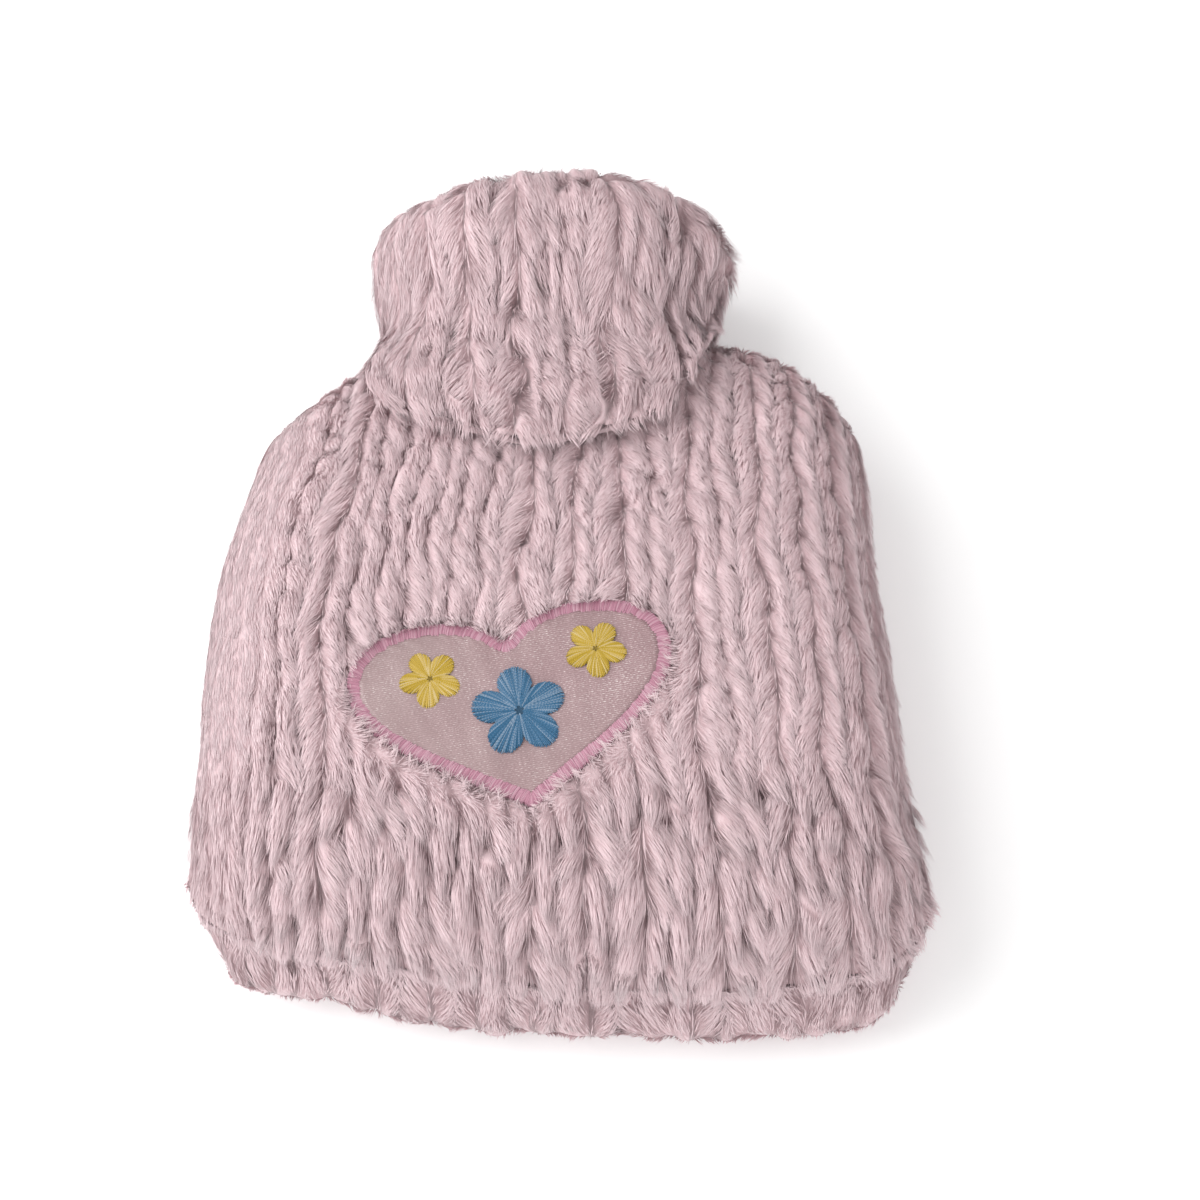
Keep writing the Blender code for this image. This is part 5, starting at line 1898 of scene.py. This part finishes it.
@dataclass
class HeartPatch:
    """The satin heart and its stitched border."""

    border: float = 3.8 * MM
    border_height: float = 1.9 * MM
    thickness: float = 1.1 * MM
    tucked: float = 0.7 * MM
    pitch: float = 0.24 * MM
    skew: float = 0.35 * MM
    stitch: float = 0.17 * MM
    rings: int = 26
    puckers: float = 58.0
    section: tuple[tuple[float, float], ...] = (
        (0.06, 0.0), (0.08, 0.32), (0.25, 0.52), (0.50, 0.58), (0.75, 0.52), (0.92, 0.32), (0.94, 0.0))
    satin: SatinFinish = SatinFinish()
    thread: ThreadFinish = ThreadFinish("border_thread", (0.487, 0.217, 0.296), dark=0.58)
    flat: tuple[float, float] = (0.080, 0.052)
    area: float = 0.0027

    def relief(self, p: Array, q: Array, scale: Array) -> Array:
        """The satin's own height: the ribs under it, soft swells, and puckers at its edge.

        Args:
            p: place along the heart's own first axis.
            q: place along its second one.
            scale: share of the way out to the rim.

        Returns:
            The height.
        """
        swell = soft_noise(p / (9 * MM), q / (13 * MM), 31) - 0.5
        ribs = np.sin(math.tau * (p * 0.985 + q * 0.17) / (6.6 * MM) + 3.0 * swell)
        turn, edge = np.arctan2(q, p) / math.tau, ease(0.80, 1.0, scale)
        pucker = np.sin(math.tau * turn * self.puckers + 4.0 * soft_noise(turn * 40.0, scale * 3.0, 32)) * edge
        return 0.07 * MM * ribs * (1.0 - 0.5 * edge) + 0.7 * MM * swell + 0.10 * MM * pucker

    def build_satin(self) -> Piece:
        """The heart of satin: a thin closed sheet that follows the ribs under it a little.

        Returns:
            The piece.
        """
        rim = HeartAxes.outline(self.border - self.tucked)
        scales = np.linspace(1.0, 0.0, self.rings + 1)[:-1]
        p, q, scale = (np.append(np.outer(scales, values), 0.0)
                       for values in (rim[:, 0], rim[:, 1], np.ones(len(rim))))
        centre, count = len(p) - 1, len(rim)
        grid = np.arange(centre).reshape(-1, count)
        step, after = np.arange(count), np.roll(np.arange(count), -1)
        fan = np.stack((grid[-1], np.roll(grid[-1], -1), np.full(count, centre)), axis=1)
        top = ring_faces(grid).tolist() + fan.tolist()
        faces = top + [[k + len(p) for k in face[::-1]] for face in top]
        faces += np.stack((after, step, len(p) + step, len(p) + after), axis=1).tolist()
        points = np.concatenate((HeartAxes.place(p, q, self.thickness + self.relief(p, q, scale)),
                                 HeartAxes.place(p, q, 0.2 * MM)))
        patch = make_object("heart_satin", points, faces, self.satin.material())
        write_map(patch.data, "weave", np.tile(p, 2), np.tile(q, 2))
        return face_up(patch)

    def build_border(self, stitcher: Stitcher) -> tuple[Piece, Piece]:
        """The border's padding and its satin stitches.

        Args:
            stitcher: what lays the stitches.

        Returns:
            Both pieces.
        """
        rings = [HeartAxes.place(*HeartAxes.outline(self.border * inward).T, self.border_height * up)
                 for inward, up in self.section]
        points = np.concatenate(rings)
        grid = np.arange(len(points)).reshape(len(rings), -1)
        faces = ring_faces(np.concatenate((grid, grid[:1]))).tolist()
        padding = face_up(make_object("heart_border_padding", points, faces, self.thread.base()))

        outer, inner = (np.concatenate((ring, ring[:1])) for ring in (HeartAxes.outline(0.0),
                                                                      HeartAxes.outline(self.border)))
        length = travelled(np.maximum(*(np.linalg.norm(np.diff(ring, axis=0), axis=1) for ring in (outer, inner))))
        number = int(length[-1] / self.pitch)
        rng = np.random.default_rng(41)
        at = (np.arange(number) + rng.uniform(-0.3, 0.3, number)) / number * length[-1]
        jitter = rng.uniform(-0.28 * MM, 0.22 * MM, (2, number))[..., None]
        low, high = (np.stack([np.interp(place % length[-1], length, ring[:, k]) for k in (0, 1)], axis=1)
                     for ring, place in ((inner, at - self.skew), (outer, at + self.skew)))
        way = unit(high - low)
        starts = HeartAxes.place(*(low - way * jitter[0]).T, 0.25 * MM)
        ends = HeartAxes.place(*(high + way * jitter[1]).T, 0.15 * MM)
        arch = self.border_height * rng.uniform(0.62, 0.72, number)
        return padding, stitcher.stitches("heart_border_stitches", starts, ends, arch, self.stitch,
                                          self.thread.material(), 42)


@dataclass
class Flower:
    """A plain five-petal flower of satin stitches on a low pad."""

    name: str
    across: float
    along: float
    radius: float
    turn: float
    finish: ThreadFinish
    petals: int = 5
    waist: float = 0.50
    roundness: float = 0.6
    base: float = 1.3 * MM
    thickness: float = 0.9 * MM
    steps: int = 120
    pitch: float = 0.33 * MM
    stitch: float = 0.22 * MM
    section: tuple[tuple[float, float], ...] = (
        (0.94, -0.3), (0.94, 0.25), (0.85, 0.5), (0.6, 0.62), (0.3, 0.55), (0.12, 0.3))

    def spot(self, angle: Array, share: Number, height: float) -> Array:
        """Points on the flower.

        Args:
            angle: angle round it.
            share: share of the way out to its outline.
            height: height over its base.

        Returns:
            The points.
        """
        petal = np.abs(np.cos(self.petals * angle / 2)) ** self.roundness
        out, turned = self.radius * mix(self.waist, 1.0, petal) * share, angle + math.radians(self.turn)
        return HeartAxes.place(self.across + out * np.cos(turned), self.along + out * np.sin(turned),
                               self.base + height)

    def build(self, stitcher: Stitcher, seed: int) -> tuple[Piece, Piece]:
        """The pad and the stitches.

        Args:
            stitcher: what lays the stitches.
            seed: which random lengths and shades.

        Returns:
            Both pieces.
        """
        angle = np.linspace(0.0, math.tau, self.steps, endpoint=False)
        points = np.concatenate([self.spot(angle, share, self.thickness * up) for share, up in self.section])
        grid = np.arange(len(points)).reshape(len(self.section), -1)
        faces = ring_faces(grid).tolist() + [grid[0, ::-1].tolist(), grid[-1].tolist()]
        pad = face_up(make_object(self.name + "_pad", points, faces, self.finish.base()))
        rng = np.random.default_rng(seed)
        number = int(math.tau * self.radius * 0.72 / self.pitch)
        turned = (np.arange(number) + rng.uniform(-0.25, 0.25, number)) / number * math.tau
        inner = np.where(np.arange(number) % 3 == 0, 0.10, rng.uniform(0.22, 0.40, number))
        starts = self.spot(turned, inner, 0.30 * MM)
        ends = self.spot(turned, rng.uniform(0.965, 1.0, number), -0.10 * MM)
        return pad, stitcher.stitches(self.name + "_stitches", starts, ends, self.thickness * 0.75, self.stitch,
                                      self.finish.material(), seed)


# ---- putting it together --------------------------------------------------------------------------

def stand_for(piece: Piece, node: Optional[str]) -> Piece:
    """Let a piece ride on the cover and stand for a solid, whose part is hidden.

    Args:
        piece: the piece.
        node: the solid that it stands for, if any.

    Returns:
        The same piece.
    """
    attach(piece, "root")
    if node:
        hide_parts(node)
    piece.data.calc_loop_triangles()
    LOG.info("%s: %d triangles%s", piece.name, len(piece.data.loop_triangles), f", for {node}" if node else "")
    return piece


def build_plush(comb: Comb) -> None:
    """Make the back, the front and the collar.

    Args:
        comb: what grows their hairs.
    """
    finish, backing = PileFinish(), BackingFinish().material()
    mass, hairs = finish.mass(), finish.hairs()
    front, back, collar = FrontPanel(), BackPanel(), Collar()
    for panel, pelt, resting, cuts in (
            (back, back.pelt(), [], 1),
            (front, front.pelt(collar), ["back_panel"], 3),
            (collar, collar.pelt(), ["front_panel", "back_panel"], 1)):
        body = stand_for(pelt.build_mass(mass, backing), pelt.name)
        edges = np.linspace(0, pelt.columns, cuts + 1).astype(int)
        tufts = [stand_for(comb.hairs(pelt, f"{pelt.name}_hairs_{part}", slice(max(0, low - 1), high), hairs),
                           None)
                 for part, (low, high) in enumerate(zip(edges, edges[1:]), 1)]


def build_heart(stitcher: Stitcher) -> None:
    """Make the patch, its border and its flowers.

    Args:
        stitcher: what lays their stitches.
    """
    heart = HeartPatch()
    satin = stand_for(heart.build_satin(), "heart_patch")
    padding, stitches = heart.build_border(stitcher)
    on_satin = [stand_for(padding, "heart_border"), stand_for(stitches, None)]
    blue = ThreadFinish("blue_thread", (0.022, 0.120, 0.238), dark=0.55)
    yellow = ThreadFinish("yellow_thread", (0.475, 0.312, 0.018), dark=0.45)
    for number, flower in enumerate((
            Flower("flower_blue", 0.0005, -0.0060, 0.0125, 18.0, blue),
            Flower("flower_yellow_left", -0.0205, 0.0065, 0.0082, 40.0, yellow),
            Flower("flower_yellow_right", 0.0225, 0.0075, 0.0082, -20.0, yellow))):
        pad, threads = flower.build(stitcher, 50 + number)
        on_satin += [stand_for(pad, flower.name), stand_for(threads, None)]


def main() -> None:
    """Build the studio, the plush and the heart."""
    logging.basicConfig(level=logging.INFO, format="%(name)s %(message)s", stream=sys.stdout)
    Studio().build()
    comb = Comb()
    build_plush(comb)
    comb.put_away()
    stitcher = Stitcher()
    build_heart(stitcher)
    stitcher.put_away()


if __name__ == "__main__":
    main()
